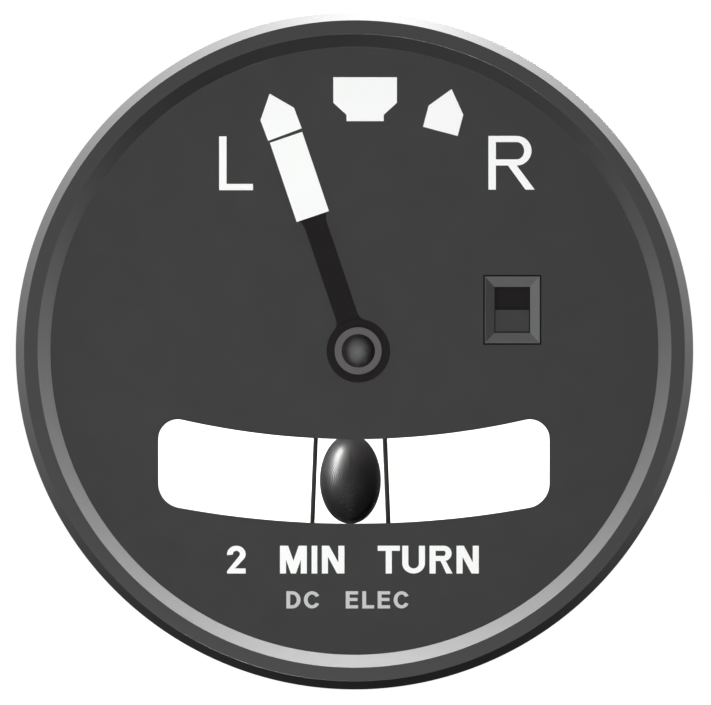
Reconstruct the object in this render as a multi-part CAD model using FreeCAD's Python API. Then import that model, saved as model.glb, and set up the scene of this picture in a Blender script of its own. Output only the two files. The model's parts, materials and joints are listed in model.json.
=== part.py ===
"""Aircraft turn and bank indicator, direct-current electric type, for a round panel clamp.

Frame: X to the viewer's right, Y into the instrument, Z up, so the dial faces -Y. The origin
is on the case axis, in the plane of the bezel's rear shoulder. Lengths are in millimetres and
angles in degrees. A positive turn about +Y is clockwise as the pilot sees it. Angles on the
dial are measured clockwise from straight up.
"""
import FreeCAD, Part
import math
import os

V = FreeCAD.Vector
Y_AXIS = V(0, 1, 0)

# Small clearances shared by many fits
slip = 0.03            # a part pushed into or over another of the same assembly
running = 0.05         # a shaft turning in its bush

# Bezel, from the outside in
seat_width = 1.20
bezel_depth = 14.00
bezel_outer_chamfer = 0.97
bezel_flat = 1.60
bezel_inner_chamfer = 1.49
bezel_land = 0.51
bezel_rear_chamfer = 0.50
collar_step = 0.95

# Glass, gasket, dial and their spacer
gasket_thickness = 0.40
glass_thickness = 2.40
dial_thickness = 1.00
spacer_wall = 1.35

# Case
case_radius = 38.40
case_wall = 1.60
collar_length = 4.00
case_length = 98.00
ledge_front = 20.00
ledge_thickness = 2.00
ledge_width = 4.40

# Rear cover and its radial screws
cover_thickness = 3.00
cover_gasket_thickness = 0.50
cover_edge_radius = 1.60
cover_skirt_depth = 7.00
cover_skirt_wall = 3.20
cover_screw_count = 6
cover_screw_radius = 1.25
cover_screw_head_radius = 2.30
cover_screw_length = 4.00
cover_screw_inset = 3.60
cover_rib_height = 0.80
cover_rib_width = 1.60
cover_rib_inset = 4.00
cover_screw_sink = 0.15
cover_slot_depth = 0.35

# Power receptacle on the rear cover
receptacle_z = -6.00
receptacle_flange_width = 23.00
receptacle_flange_thickness = 2.00
receptacle_flange_corner = 2.40
receptacle_barrel_radius = 7.94
receptacle_barrel_wall = 0.95
receptacle_barrel_length = 11.00
receptacle_insert_length = 4.50
receptacle_body_radius = 8.60
receptacle_body_depth = 8.00
receptacle_pin_radius = 0.80
receptacle_pin_circle = 4.30
receptacle_pin_length = 5.00
receptacle_pin_tail = 4.00
receptacle_pin_count = 4
receptacle_pin_chamfer = 0.35
insert_setback = 0.50
receptacle_screw_spacing = 18.30
receptacle_screw_radius = 1.25
receptacle_screw_head = 2.30
receptacle_screw_head_height = 1.60
receptacle_screw_length = 5.50
screw_slot_depth = 0.60
screw_slot_width = 0.60

# Vent and adjuster plugs on the rear cover
plug_radius = 3.40
plug_height = 2.20
plug_thread_radius = 2.40
plug_z = 21.00
plug_x = 13.00
plug_slot_depth = 0.90
plug_slot_width = 0.80
plug_thread_end = 1.00

# Frame plates
front_plate_thickness = 2.50
front_plate_clearance = 0.20
rear_plate_thickness = 2.50
rear_bay = 15.50
rear_plate_arm = 3.60
rear_plate_boss = 7.20
pillar_radius = 2.20
pillar_spigot_radius = 1.40
pillar_inset = 5.60
pillar_angles = (42.0, 120.0, 240.0, 318.0)
frame_screw_radius = 1.00
frame_screw_head_radius = 1.80
frame_screw_head_height = 1.20
frame_screw_length = 5.50
mount_screw_inset = 2.40
mount_screw_angles = (20.0, 70.0, 160.0, 200.0, 290.0, 340.0)

# Pointer axis and the two gears behind the dial
pointer_x = 0.45
gear_module = 0.40
pinion_teeth = 18
sector_teeth = 36
sector_arc = 70.0
gear_width = 3.00
gear_backlash = 0.06
pressure_angle = 20.0
gear_to_plate = 2.00
pinion_hub_radius = 2.20
sector_hub_radius = 3.00
pinion_hub_length = 1.40
sector_hub_length = 0.40
rest_turn = -18.7

# Pointer
staff_radius = 0.75
staff_bush_radius = 1.80
pointer_lift = 0.80
pointer_thickness = 0.50
hub_radius = 3.72
hub_thickness = 0.80
hub_boss_radius = 1.40
hub_boss_gap = 0.20
collar_ring_radius = 2.78
collar_ring_thickness = 0.40
collar_ring_chamfer = 0.12
cap_radius = 1.96
cap_height = 1.10
arm_width = 2.65
arm_shoulder_width = 3.35
arm_shoulder_length = 1.30
arm_neck_fillet = 1.20
tip_width = 4.00
tip_length = 9.80
tip_start = 16.60
tip_thickness = 0.35
tongue_width = 2.40
tongue_length = 8.60
tongue_thickness = 0.25
staff_hole_radius = 1.60
counterweight_reach = 7.00
counterweight_radius = 2.20
counterweight_thickness = 1.60
counterweight_tail = 1.10
counterweight_gap = 1.40

# Pointer bridge and its posts
bridge_front = 9.00
bridge_thickness = 1.60
bridge_half_width = 3.00
post_radius = 2.00
post_places = ((-21.0, 5.0), (9.0, 15.0), (19.5, -3.0))

# Dial marks, as thin raised paint
mark_thickness = 0.12
house_width = 4.20
house_wall = 2.58
house_height = 5.13
house_left_margin = 8.79
house_left_angle = -18.75
house_left_tilt = -20.5
house_right_margin = 8.09
house_right_angle = 20.5
house_right_tilt = 14.9
index_x = 1.25
index_margin = 3.48
index_width = 7.45
index_block = 3.00
index_stem_width = 4.36
index_taper = 1.41
index_stem = 0.74

# Inclinometer window in the dial, and the curved tube behind it
window_side_margin = 12.62
window_x = -0.07
window_top_radius = 90.33
window_top_z = -10.37
window_bottom_radius = 113.96
window_bottom_z = -20.25
window_top_corner = 2.30
window_bottom_corner = 2.90
tube_x = -0.49
tube_curve_radius = 105.0
tube_radius = 5.50
tube_bore = 3.80
tube_overlap = 2.48
tube_low_z = -14.91
tube_dial_gap = 0.50
ball_radius = 3.59
ball_clearance = 0.10
end_cap_length = 2.00
end_plug_length = 1.40
backing_thickness = 0.27
wire_radius = 0.195
wire_left_x = -4.72
wire_right_x = 3.75
strap_angle = 10.6
strap_width = 4.00
strap_thickness = 0.60
strap_ear = 3.40
stud_radius = 0.60
strap_nut_radius = 1.20
strap_nut_height = 0.90
stud_end = 0.40

# Power warning flag window, vane and coil
flag_window_x = 18.50
flag_window_z = 4.80
flag_frame_width = 6.42
flag_frame_height = 7.80
flag_opening_width = 4.19
flag_opening_height = 5.39
flag_frame_gap = 0.19
flag_frame_depth = 1.15
flag_flange = 0.90
flag_flange_thickness = 0.50
flag_screen_gap = 0.40
flag_screen_thickness = 0.40
flag_wall_gap = 0.40
flag_wall_thickness = 0.50
vane_left_x = 14.20
vane_right_x = 21.10
vane_top_z = 4.82
vane_bottom_z = -2.50
vane_thickness = 0.30
vane_gap = 0.35
flag_axis_x = 28.60
flag_axis_z = -1.00
flag_arm_half_width = 0.90
flag_staff_radius = 0.60
flag_hub_radius = 1.60
flag_leaf_thickness = 0.80
flag_leaf_half_width = 2.60
flag_leaf_front = -1.20
flag_web_thickness = 0.80
flag_web_half_height = 1.20
coil_x = 25.40
coil_z = 9.20
coil_radius = 3.40
coil_cheek = 0.60
coil_winding_step = 0.40
core_radius = 1.20
core_nose = 0.40
armature_length = 10.00
armature_width = 2.40
armature_thickness = 0.70

# Gimbal, rotor and brushes
gimbal_bar = 3.00
gimbal_half_height = 3.50
gimbal_corner = 4.00
gimbal_inner_corner = 1.50
gimbal_half_width = 19.00
gimbal_pivot_radius = 1.50
gimbal_bush_radius = 3.00
bush_flange = 0.50
pivot_tail = 1.50
gimbal_front_gap = 2.50
gimbal_rear_gap = 3.00
rotor_end_gap = 1.00
rotor_half_width = 11.00
rotor_rim = 4.00
rotor_web = 4.00
rotor_hub_radius = 4.60
rotor_hub_half_width = 6.00
rotor_shaft_radius = 1.50
rotor_edge = 0.80
bearing_radius = 4.50
bearing_width = 3.00
bearing_race = 1.20
bearing_shield = 0.30
bearing_boss = 1.80
magnet_radius = 7.40
magnet_wall = 2.20
magnet_flange_radius = 9.50
magnet_flange = 1.50
winding_gap = 0.60
winding_rim_gap = 3.00
winding_margin = 1.20
commutator_radius = 5.20
commutator_length = 4.50
rotor_shaft_end = 0.40
brush_width = 2.40
brush_length = 5.00
brush_holder_wall = 0.80
brush_holder_gap = 0.95
brush_holder_extra = 0.60
brush_base_half_width = 6.00
brush_base_thickness = 1.50

# Damper beside the gimbal arm
damper_pillar_gap = 0.43
damper_arm_width = 4.40
damper_arm_thickness = 1.50
damper_pin_radius = 0.80
damper_pin_length = 5.40
damper_axis_from_plate = 6.50
damper_radius = 4.50
damper_wall = 0.90
damper_case_gap = 1.90
damper_right = -10.50
damper_end_wall = 1.00
saddle_wall = 1.20
saddle_length = 8.00
saddle_past_axis = 1.00
damper_piston_x = -16.00
damper_piston_length = 1.20
damper_rod_radius = 0.90
yoke_width = 4.20
yoke_height = 6.20
yoke_thickness = 1.60
yoke_slot_height = 3.60
yoke_slot_clearance = 0.10

# Centring spring below the gimbal
spring_radius = 1.70
spring_wire = 0.25
spring_turns = 6
spring_top_below_axis = 9.20
spring_anchor_z = -31.50
lug_radius = 1.30
lug_thickness = 1.20
anchor_radius = 1.60
anchor_flange = 0.70
anchor_flange_thickness = 0.60
anchor_past_spring = 1.40
spring_gap = 0.25

# Windows that lighten the front plate
front_plate_windows = ((20.0, 9.0), (-15.0, -21.0), (15.0, -21.0), (-22.0, -3.0))
front_plate_window_radius = 5.20

# Places that follow from the sizes above
bezel_radius = case_radius + seat_width
front_y = -bezel_depth
land_y = front_y + bezel_inner_chamfer + bezel_land
opening_radius = bezel_radius - bezel_outer_chamfer - bezel_flat - bezel_inner_chamfer
bezel_bore = case_radius - collar_step
inset_radius = bezel_bore - 0.2
glass_front = land_y + gasket_thickness
glass_rear = glass_front + glass_thickness
dial_rear = -collar_length
dial_front = dial_rear - dial_thickness
case_inner = case_radius - case_wall
collar_inner = inset_radius - spacer_wall
ledge_inner_radius = case_inner - ledge_width
pillar_circle = case_inner - pillar_inset
mount_screw_circle = case_inner - mount_screw_inset
window_half_width = opening_radius - window_side_margin
house_left_radius = opening_radius - house_left_margin
house_right_radius = opening_radius - house_right_margin
index_top = opening_radius - index_margin
tube_half_angle = math.degrees(math.asin((window_half_width + tube_overlap) / tube_curve_radius))
plate_front = ledge_front + ledge_thickness
plate_rear = plate_front + front_plate_thickness
plate_radius = case_inner - front_plate_clearance
rear_plate_rear = case_length - rear_bay
rear_plate_front = rear_plate_rear - rear_plate_thickness
cover_front = case_length + cover_gasket_thickness
cover_rear = cover_front + cover_thickness
gear_front = plate_front - gear_to_plate - gear_width
gear_rear = gear_front + gear_width
gear_distance = gear_module * (pinion_teeth + sector_teeth) / 2
gimbal_x = pointer_x
gimbal_z = -gear_distance
gimbal_rest = -rest_turn * pinion_teeth / sector_teeth
bridge_rear = bridge_front + bridge_thickness
gimbal_front = plate_rear + gimbal_front_gap
gimbal_half_span = (rear_plate_front - gimbal_rear_gap - gimbal_front) / 2
rotor_y = gimbal_front + gimbal_half_span
rotor_radius = gimbal_half_span - gimbal_bar - rotor_end_gap
winding_radius = rotor_radius - rotor_rim - winding_rim_gap
pointer_rear = dial_front - pointer_lift
pointer_front = pointer_rear - pointer_thickness
hub_front = pointer_rear - hub_thickness
tube_y = dial_rear + tube_dial_gap + tube_radius
tube_z = tube_low_z + tube_curve_radius
damper_y = plate_rear + damper_axis_from_plate
damper_pillar_z = pillar_circle * math.cos(math.radians(pillar_angles[3]))
damper_z = damper_pillar_z - pillar_radius - damper_pillar_gap - saddle_wall - damper_radius
damper_arm_height = (damper_z - gimbal_z) / math.cos(math.radians(gimbal_rest))
damper_reach = case_inner - damper_case_gap
damper_left = -math.sqrt(damper_reach ** 2 - (damper_z + damper_radius) ** 2)
damper_pin_x = gimbal_x + damper_arm_height * math.sin(math.radians(gimbal_rest))
coil_front = flag_leaf_front + flag_leaf_thickness
coil_rear = bridge_front - flag_leaf_thickness


def place(angle, radius, x=0.0, z=0.0):
    """Point at a clock angle and radius about (x, z), as (x, z)."""
    turn = math.radians(angle)
    return x + radius * math.sin(turn), z + radius * math.cos(turn)


def rod(x, z, radius, y_front, y_rear):
    return Part.makeCylinder(radius, y_rear - y_front, V(x, y_front, z), Y_AXIS)


def cross_rod(x_left, x_right, y, z, radius):
    return Part.makeCylinder(radius, x_right - x_left, V(x_left, y, z), V(1, 0, 0))


def sleeve(x, z, outer, inner, y_front, y_rear):
    return rod(x, z, outer, y_front, y_rear).cut(rod(x, z, inner, y_front - 1, y_rear + 1))


def block(x_left, x_right, y_front, y_rear, z_low, z_high):
    size = (x_right - x_left, y_rear - y_front, z_high - z_low)
    return Part.makeBox(*size, V(x_left, y_front, z_low))


def prism(points, y_front, y_rear):
    corners = [V(x, y_front, z) for x, z in points]
    return Part.Face(Part.makePolygon(corners + corners[:1])).extrude(V(0, y_rear - y_front, 0))


def turned(profile, x=0.0, z=0.0):
    """Solid turned about an axis along Y from closed (radius, y) corners."""
    corners = [V(x + radius, y, z) for radius, y in profile]
    face = Part.Face(Part.makePolygon(corners + corners[:1]))
    return face.revolve(V(x, 0, z), Y_AXIS, 360)


def cross_turned(profile):
    """Solid turned about the rotor's level axis from closed (radius, x) corners."""
    corners = [V(gimbal_x + x, rotor_y, gimbal_z + radius) for radius, x in profile]
    face = Part.Face(Part.makePolygon(corners + corners[:1]))
    return face.revolve(V(gimbal_x, rotor_y, gimbal_z), V(1, 0, 0), 360)


def cross_ring(outer, inner, x_left, x_right):
    return cross_turned([(inner, x_left), (outer, x_left), (outer, x_right), (inner, x_right)])


def joined(shapes):
    return shapes[0].multiFuse(shapes[1:]).removeSplitter()


def bar(x1, z1, x2, z2, half_width, y_front, y_rear):
    """Flat bar with round ends from one point to another."""
    length = math.hypot(x2 - x1, z2 - z1)
    angle = math.degrees(math.atan2(x2 - x1, z2 - z1))
    flat = block(x1 - half_width, x1 + half_width, y_front, y_rear, z1, z1 + length)
    flat.rotate(V(x1, 0, z1), Y_AXIS, angle)
    ends = [rod(x1, z1, half_width, y_front, y_rear), rod(x2, z2, half_width, y_front, y_rear)]
    return joined([flat] + ends)


def spun(shape, angle, x, z):
    """Copy of a shape turned about an axis along Y."""
    copy = shape.copy()
    copy.rotate(V(x, 0, z), Y_AXIS, angle)
    return copy


def with_gimbal(shape):
    return spun(shape, gimbal_rest, gimbal_x, gimbal_z)


def with_pointer(shape):
    return spun(shape, rest_turn, pointer_x, 0)


def round_edges(shape, radius, chosen):
    edges = [edge for edge in shape.Edges if chosen(edge)]
    return shape.makeFillet(radius, edges)


def broken(shape, size, chosen):
    """Chamfers the chosen edges."""
    edges = [edge for edge in shape.Edges if chosen(edge)]
    return shape.makeChamfer(size, edges)


def rim_at(radius, y):
    """Picks the full circles of one radius at one depth."""
    def chosen(edge):
        curve = edge.Curve
        same = hasattr(curve, "Radius") and abs(curve.Radius - radius) < 1e-4
        return same and abs(edge.BoundBox.YMin - y) < 1e-4 and edge.BoundBox.YLength < 1e-4
    return chosen


def along_y(edge):
    box = edge.BoundBox
    return box.XLength < 1e-4 and box.ZLength < 1e-4


def pan_screw(x, z, y_seat, into=-1, length=frame_screw_length):
    """Slotted pan-head screw whose head rests at y_seat and whose shank runs into the piece."""
    head_top = y_seat - into * frame_screw_head_height
    low, high = sorted((y_seat, head_top))
    head = rod(x, z, frame_screw_head_radius, low, high)
    slot_y = sorted((head_top, head_top + into * frame_screw_head_height * 0.4))
    slot_half = frame_screw_head_radius * 0.15
    reach = frame_screw_head_radius + 1
    head = head.cut(block(x - reach, x + reach, slot_y[0], slot_y[1], z - slot_half, z + slot_half))
    low, high = sorted((y_seat, y_seat + into * length))
    return joined([head, rod(x, z, frame_screw_radius, low, high)])


def save(name, *solids):
    """Writes one sub-part, after checking that each of its solids is sound."""
    found = [solid for shape in solids for solid in shape.Solids]
    for solid in found:
        if not solid.isValid() or solid.Volume <= 0:
            raise ValueError(name + " holds an unsound solid")
    shape = found[0] if len(found) == 1 else Part.makeCompound(found)
    shape.exportStep(os.path.join("parts", name + ".step"))


# Bezel, glass and dial stack
def bezel_ring():
    flat_outer = bezel_radius - bezel_outer_chamfer
    flat_inner = flat_outer - bezel_flat
    return turned([
        (opening_radius, land_y), (opening_radius, front_y + bezel_inner_chamfer),
        (flat_inner, front_y), (flat_outer, front_y),
        (bezel_radius, front_y + bezel_outer_chamfer), (bezel_radius, -bezel_rear_chamfer),
        (bezel_radius - bezel_rear_chamfer, 0), (bezel_bore, 0), (bezel_bore, land_y)])


def glass_gasket():
    return sleeve(0, 0, inset_radius, opening_radius + slip, land_y, glass_front)


def cover_glass():
    return rod(0, 0, inset_radius, glass_front, glass_rear)


def dial_spacer_ring():
    return sleeve(0, 0, inset_radius, inset_radius - spacer_wall, glass_rear, dial_front)


def window_shape(y_front, y_rear):
    """Curved dial window between two arcs, with its four corners rounded."""
    top_centre = window_top_z + window_top_radius
    bottom_centre = window_bottom_z + window_bottom_radius
    left, right = window_x - window_half_width, window_x + window_half_width
    shape = block(left, right, y_front, y_rear, window_bottom_z - window_bottom_radius,
                  window_top_z + window_top_radius)
    shape = shape.cut(rod(window_x, top_centre, window_top_radius, y_front - 1, y_rear + 1))
    shape = shape.common(rod(window_x, bottom_centre, window_bottom_radius, y_front - 1, y_rear + 1))
    middle = (window_top_z + window_bottom_z) / 2

    def upper(edge):
        return along_y(edge) and edge.BoundBox.ZMin > middle

    def lower(edge):
        return along_y(edge) and edge.BoundBox.ZMin < middle
    shape = round_edges(shape, window_top_corner, upper)
    return round_edges(shape, window_bottom_corner, lower)


def flag_box(width, height, y_front, y_rear):
    half_w, half_h = width / 2, height / 2
    return block(flag_window_x - half_w, flag_window_x + half_w, y_front, y_rear,
                 flag_window_z - half_h, flag_window_z + half_h)


def dial_plate():
    plate = rod(0, 0, inset_radius, dial_front, dial_rear)
    plate = plate.cut(window_shape(dial_front - 1, dial_rear + 1))
    gap = 2 * flag_frame_gap
    plate = plate.cut(flag_box(flag_frame_width + gap, flag_frame_height + gap,
                               dial_front - 1, dial_rear + 1))
    return plate.cut(rod(pointer_x, 0, staff_hole_radius, dial_front - 1, dial_rear + 1))


def house_mark(angle, radius, tilt):
    """Five-cornered mark standing on the dial at a clock angle, leaning by its own tilt."""
    x, z = place(angle, radius, pointer_x, 0)
    half = house_width / 2
    outline = [(x - half, z), (x - half, z + house_wall), (x, z + house_height),
               (x + half, z + house_wall), (x + half, z)]
    return spun(prism(outline, dial_front - mark_thickness, dial_front), tilt, x, z)


def centre_index():
    half, stem = index_width / 2, index_stem_width / 2
    block_z = index_top - index_block
    taper_z = block_z - index_taper
    right = [(half, index_top), (half, block_z), (stem, taper_z), (stem, taper_z - index_stem)]
    left = [(-x, z) for x, z in reversed(right)]
    outline = [(index_x + x, z) for x, z in right + left]
    return prism(outline, dial_front - mark_thickness, dial_front)


def flag_window_frame():
    """Sloping frame let into the dial, with a flange and a screen behind the vane."""
    rear = dial_front + flag_frame_depth
    flange_front = dial_rear
    flange_rear = flange_front + flag_flange_thickness
    screen_front = vane_front() + vane_thickness + flag_screen_gap
    screen_rear = screen_front + flag_screen_thickness
    right = flag_window_x + flag_frame_width / 2 + flag_flange
    wall = vane_left_x - flag_wall_gap
    left = wall - flag_wall_thickness
    low = flag_window_z - flag_frame_height / 2 - flag_flange
    high = flag_window_z + flag_frame_height / 2 + flag_flange
    body = joined([flag_box(flag_frame_width, flag_frame_height, dial_front, flange_rear),
                   block(left, right, flange_front, flange_rear, low, high),
                   block(left, wall, flange_front, screen_rear, low, high),
                   block(left, right, screen_front, screen_rear, low, high)])

    def outline(frame_width, frame_height, y):
        half_w, half_h = frame_width / 2, frame_height / 2
        signs = ((-1, -1), (1, -1), (1, 1), (-1, 1), (-1, -1))
        return Part.makePolygon([V(flag_window_x + a * half_w, y, flag_window_z + b * half_h)
                                 for a, b in signs])
    front = outline(flag_frame_width - 0.1, flag_frame_height - 0.1, dial_front)
    back = outline(flag_opening_width, flag_opening_height, rear)
    slope = Part.makeLoft([front, back], True, True)
    body = body.cut(slope)
    return body.cut(flag_box(flag_opening_width, flag_opening_height, rear - 0.01,
                             flange_rear + vane_gap / 2))


# Case and rear cover
def cover_screw_hole(angle, radius, depth_from, depth_to):
    """Radial rod through the case wall at one screw place."""
    x, z = place(angle, 1.0)
    y = case_length - cover_screw_inset
    start = V(x * depth_from, y, z * depth_from)
    return Part.makeCylinder(radius, depth_to - depth_from, start, V(x, 0, z))


def cover_screw_cone(angle, clearance):
    """Countersink, or the head that fits it when the clearance is zero."""
    x, z = place(angle, 1.0)
    y = case_length - cover_screw_inset
    head = cover_screw_head_radius + clearance
    depth = cover_screw_head_radius - cover_screw_radius
    outside = case_radius - cover_screw_sink
    bottom = outside - depth
    start = V(x * bottom, y, z * bottom)
    return Part.makeCone(cover_screw_radius + clearance, head, depth, start, V(x, 0, z))


def cover_screw_angles():
    return [k * 360.0 / cover_screw_count for k in range(cover_screw_count)]


def case_shell():
    ledge_rear = ledge_front + ledge_thickness
    collar_radius = bezel_bore - running
    shell = turned([
        (collar_inner, dial_rear), (collar_radius, dial_rear), (collar_radius, 0),
        (case_radius, 0), (case_radius, case_length), (case_inner, case_length),
        (case_inner, ledge_rear), (ledge_inner_radius, ledge_rear),
        (ledge_inner_radius, ledge_front), (collar_inner, ledge_front - 3.0)])
    for angle in mount_screw_angles:
        x, z = place(angle, mount_screw_circle)
        shell = shell.cut(rod(x, z, frame_screw_radius + slip, ledge_front - 1, ledge_rear + 1))
    for angle in cover_screw_angles():
        shell = shell.cut(cover_screw_hole(angle, cover_screw_radius + slip, case_inner - 2, case_radius + 1))
        shell = shell.cut(cover_screw_cone(angle, slip))
        shell = shell.cut(cover_screw_hole(angle, cover_screw_head_radius + slip, case_radius - cover_screw_sink,
                                           case_radius + 2))
    return shell


def receptacle_screw_places():
    half = receptacle_screw_spacing / 2
    return [(a * half, receptacle_z + b * half) for a in (-1, 1) for b in (-1, 1)]


def plug_places():
    return [(-plug_x, plug_z), (plug_x, plug_z)]


def rear_cover():
    """Dished cover whose skirt slips into the case and takes the radial screws."""
    skirt_radius = case_inner - slip
    skirt_inner = skirt_radius - cover_skirt_wall
    skirt_front = case_length - cover_skirt_depth
    cover = turned([(0, cover_front), (skirt_inner, cover_front), (skirt_inner, skirt_front),
                    (skirt_radius, skirt_front), (skirt_radius, cover_front),
                    (case_radius, cover_front), (case_radius, cover_rear), (0, cover_rear)])
    cover = round_edges(cover, cover_edge_radius, rim_at(case_radius, cover_rear))
    rib_outer = case_radius - cover_rib_inset
    cover = joined([cover, sleeve(0, 0, rib_outer, rib_outer - cover_rib_width, cover_rear - 0.5,
                                  cover_rear + cover_rib_height)])
    for angle in cover_screw_angles():
        hole = cover_screw_hole(angle, cover_screw_radius + slip, skirt_inner - 1, case_radius)
        cover = cover.cut(hole)
    reach_front, reach_rear = skirt_front, cover_rear + 2
    cover = cover.cut(rod(0, receptacle_z, receptacle_body_radius + slip, reach_front, reach_rear))
    for x, z in receptacle_screw_places():
        cover = cover.cut(rod(x, z, receptacle_screw_radius + slip, reach_front, reach_rear))
    for x, z in plug_places():
        cover = cover.cut(rod(x, z, plug_thread_radius + slip, reach_front, reach_rear))
    return cover


def rear_cover_gasket():
    return sleeve(0, 0, case_radius, case_inner, case_length, cover_front)


def rear_cover_screws():
    screws = []
    for angle in cover_screw_angles():
        x, z = place(angle, 1.0)
        outside = case_radius - cover_screw_sink
        depth = cover_screw_head_radius - cover_screw_radius
        shank = cover_screw_hole(angle, cover_screw_radius, outside - cover_screw_length,
                                 outside - depth + 0.01)
        screw = joined([cover_screw_cone(angle, 0.0), shank])
        y = case_length - cover_screw_inset
        across, half = cover_screw_head_radius + 1, screw_slot_width / 2
        slot = block(-across, across, y - half, y + half, outside - cover_slot_depth, outside + 1)
        screws.append(screw.cut(spun(slot, angle, 0, 0)))
    return screws


def receptacle_shell():
    half = receptacle_flange_width / 2
    rear = cover_rear
    flange_rear = rear + receptacle_flange_thickness
    barrel_rear = flange_rear + receptacle_barrel_length
    flange = block(-half, half, rear, flange_rear, receptacle_z - half, receptacle_z + half)
    flange = round_edges(flange, receptacle_flange_corner, along_y)
    shell = joined([
        flange, rod(0, receptacle_z, receptacle_barrel_radius, flange_rear - 0.5, barrel_rear),
        rod(0, receptacle_z, receptacle_body_radius, cover_rear - receptacle_body_depth, rear + 0.5)])
    inner = receptacle_barrel_radius - receptacle_barrel_wall
    shell = shell.cut(rod(0, receptacle_z, inner, cover_rear - receptacle_body_depth - 1, barrel_rear + 1))
    for x, z in receptacle_screw_places():
        shell = shell.cut(rod(x, z, receptacle_screw_radius + slip, rear - 1, flange_rear + 1))
    return shell


def receptacle_pin_places():
    angles = [45.0 + k * 360.0 / receptacle_pin_count for k in range(receptacle_pin_count)]
    return [place(angle, receptacle_pin_circle, 0, receptacle_z) for angle in angles]


def insert_ends():
    rear = cover_rear + receptacle_flange_thickness + receptacle_insert_length
    return cover_rear - receptacle_body_depth + insert_setback, rear


def receptacle_insert():
    front, rear = insert_ends()
    radius = receptacle_barrel_radius - receptacle_barrel_wall - slip
    insert = rod(0, receptacle_z, radius, front, rear)
    for x, z in receptacle_pin_places():
        insert = insert.cut(rod(x, z, receptacle_pin_radius + slip, front - 1, rear + 1))
    return insert


def receptacle_pins():
    front, rear = insert_ends()
    pins = [rod(x, z, receptacle_pin_radius, front - receptacle_pin_tail, rear + receptacle_pin_length)
            for x, z in receptacle_pin_places()]
    tip = rear + receptacle_pin_length
    return [broken(pin, receptacle_pin_chamfer, rim_at(receptacle_pin_radius, tip)) for pin in pins]


def receptacle_screws():
    seat = cover_rear + receptacle_flange_thickness
    screws = []
    for x, z in receptacle_screw_places():
        top = seat + receptacle_screw_head_height
        head = rod(x, z, receptacle_screw_head, seat, top)
        head = broken(head, 0.3 * receptacle_screw_head_height, rim_at(receptacle_screw_head, top))
        shank = rod(x, z, receptacle_screw_radius, seat - receptacle_screw_length, seat)
        across, half = 2 * receptacle_screw_head, screw_slot_width / 2
        slot = block(x - across, x + across, top - screw_slot_depth, top + 1, z - half, z + half)
        screws.append(joined([head, shank]).cut(slot))
    return screws


def cover_plugs():
    plugs = []
    for x, z in plug_places():
        plug = joined([rod(x, z, plug_radius, cover_rear, cover_rear + plug_height),
                       rod(x, z, plug_thread_radius, cover_front - plug_thread_end, cover_rear)])
        top = cover_rear + plug_height
        across, half = plug_radius + 1, plug_slot_width / 2
        slot = block(x - across, x + across, top - plug_slot_depth, top + 1, z - half, z + half)
        plugs.append(plug.cut(slot))
    return plugs


# Frame plates, pillars and screws
def pillar_places():
    return [place(angle, pillar_circle) for angle in pillar_angles]


def front_plate():
    plate = rod(0, 0, plate_radius, plate_front, plate_rear)
    low, high = plate_front - 1, plate_rear + 1
    plate = plate.cut(rod(gimbal_x, gimbal_z, gimbal_bush_radius + slip, low, high))
    plate = plate.cut(rod(pointer_x, 0, staff_bush_radius + slip, low, high))
    for x, z in list(post_places) + pillar_places():
        plate = plate.cut(rod(x, z, pillar_spigot_radius + slip, low, high))
    for angle in mount_screw_angles:
        x, z = place(angle, mount_screw_circle)
        plate = plate.cut(rod(x, z, frame_screw_radius + slip, low, high))
    for x, z in front_plate_windows:
        plate = plate.cut(rod(x, z, front_plate_window_radius, low, high))
    return plate


def rear_plate():
    """Cross-shaped plate that ties the four pillars and carries the rear gimbal bush."""
    low, high = rear_plate_front, rear_plate_rear
    arms = [bar(gimbal_x, gimbal_z, x, z, rear_plate_arm, low, high) for x, z in pillar_places()]
    plate = joined(arms + [rod(gimbal_x, gimbal_z, rear_plate_boss, low, high)])
    plate = plate.cut(rod(gimbal_x, gimbal_z, gimbal_bush_radius + slip, low - 1, high + 1))
    for x, z in pillar_places():
        plate = plate.cut(rod(x, z, frame_screw_radius + slip, low - 1, high + 1))
    return plate


def frame_pillars():
    pillars = []
    for x, z in pillar_places():
        pillar = joined([rod(x, z, pillar_radius, plate_rear, rear_plate_front),
                         rod(x, z, pillar_spigot_radius, plate_front, plate_rear)])
        hole_front = rear_plate_front - frame_screw_length
        pillars.append(pillar.cut(rod(x, z, frame_screw_radius + slip, hole_front, rear_plate_front + 1)))
    return pillars


def bridge_posts():
    posts = []
    for x, z in post_places:
        post = joined([rod(x, z, post_radius, bridge_rear, plate_front),
                       rod(x, z, pillar_spigot_radius, plate_front, plate_rear)])
        hole_rear = bridge_rear + frame_screw_length
        posts.append(post.cut(rod(x, z, frame_screw_radius + slip, bridge_rear - 1, hole_rear)))
    return posts


def frame_screws():
    screws = [pan_screw(x, z, rear_plate_rear) for x, z in pillar_places()]
    screws += [pan_screw(x, z, bridge_front, into=1) for x, z in post_places]
    for angle in mount_screw_angles:
        x, z = place(angle, mount_screw_circle)
        screws.append(pan_screw(x, z, plate_rear, length=front_plate_thickness + ledge_thickness))
    return screws


def bush(x, z, bore, outer, y_front, y_rear):
    """Plain bush with a thin flange at its front end."""
    flange = sleeve(x, z, outer + bush_flange, bore, y_front - bush_flange, y_front)
    return joined([flange, sleeve(x, z, outer, bore, y_front, y_rear)])


def staff_bushes():
    bore = staff_radius + running
    return [bush(pointer_x, 0, bore, staff_bush_radius, bridge_front, bridge_rear),
            bush(pointer_x, 0, bore, staff_bush_radius, plate_front, plate_rear)]


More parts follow.
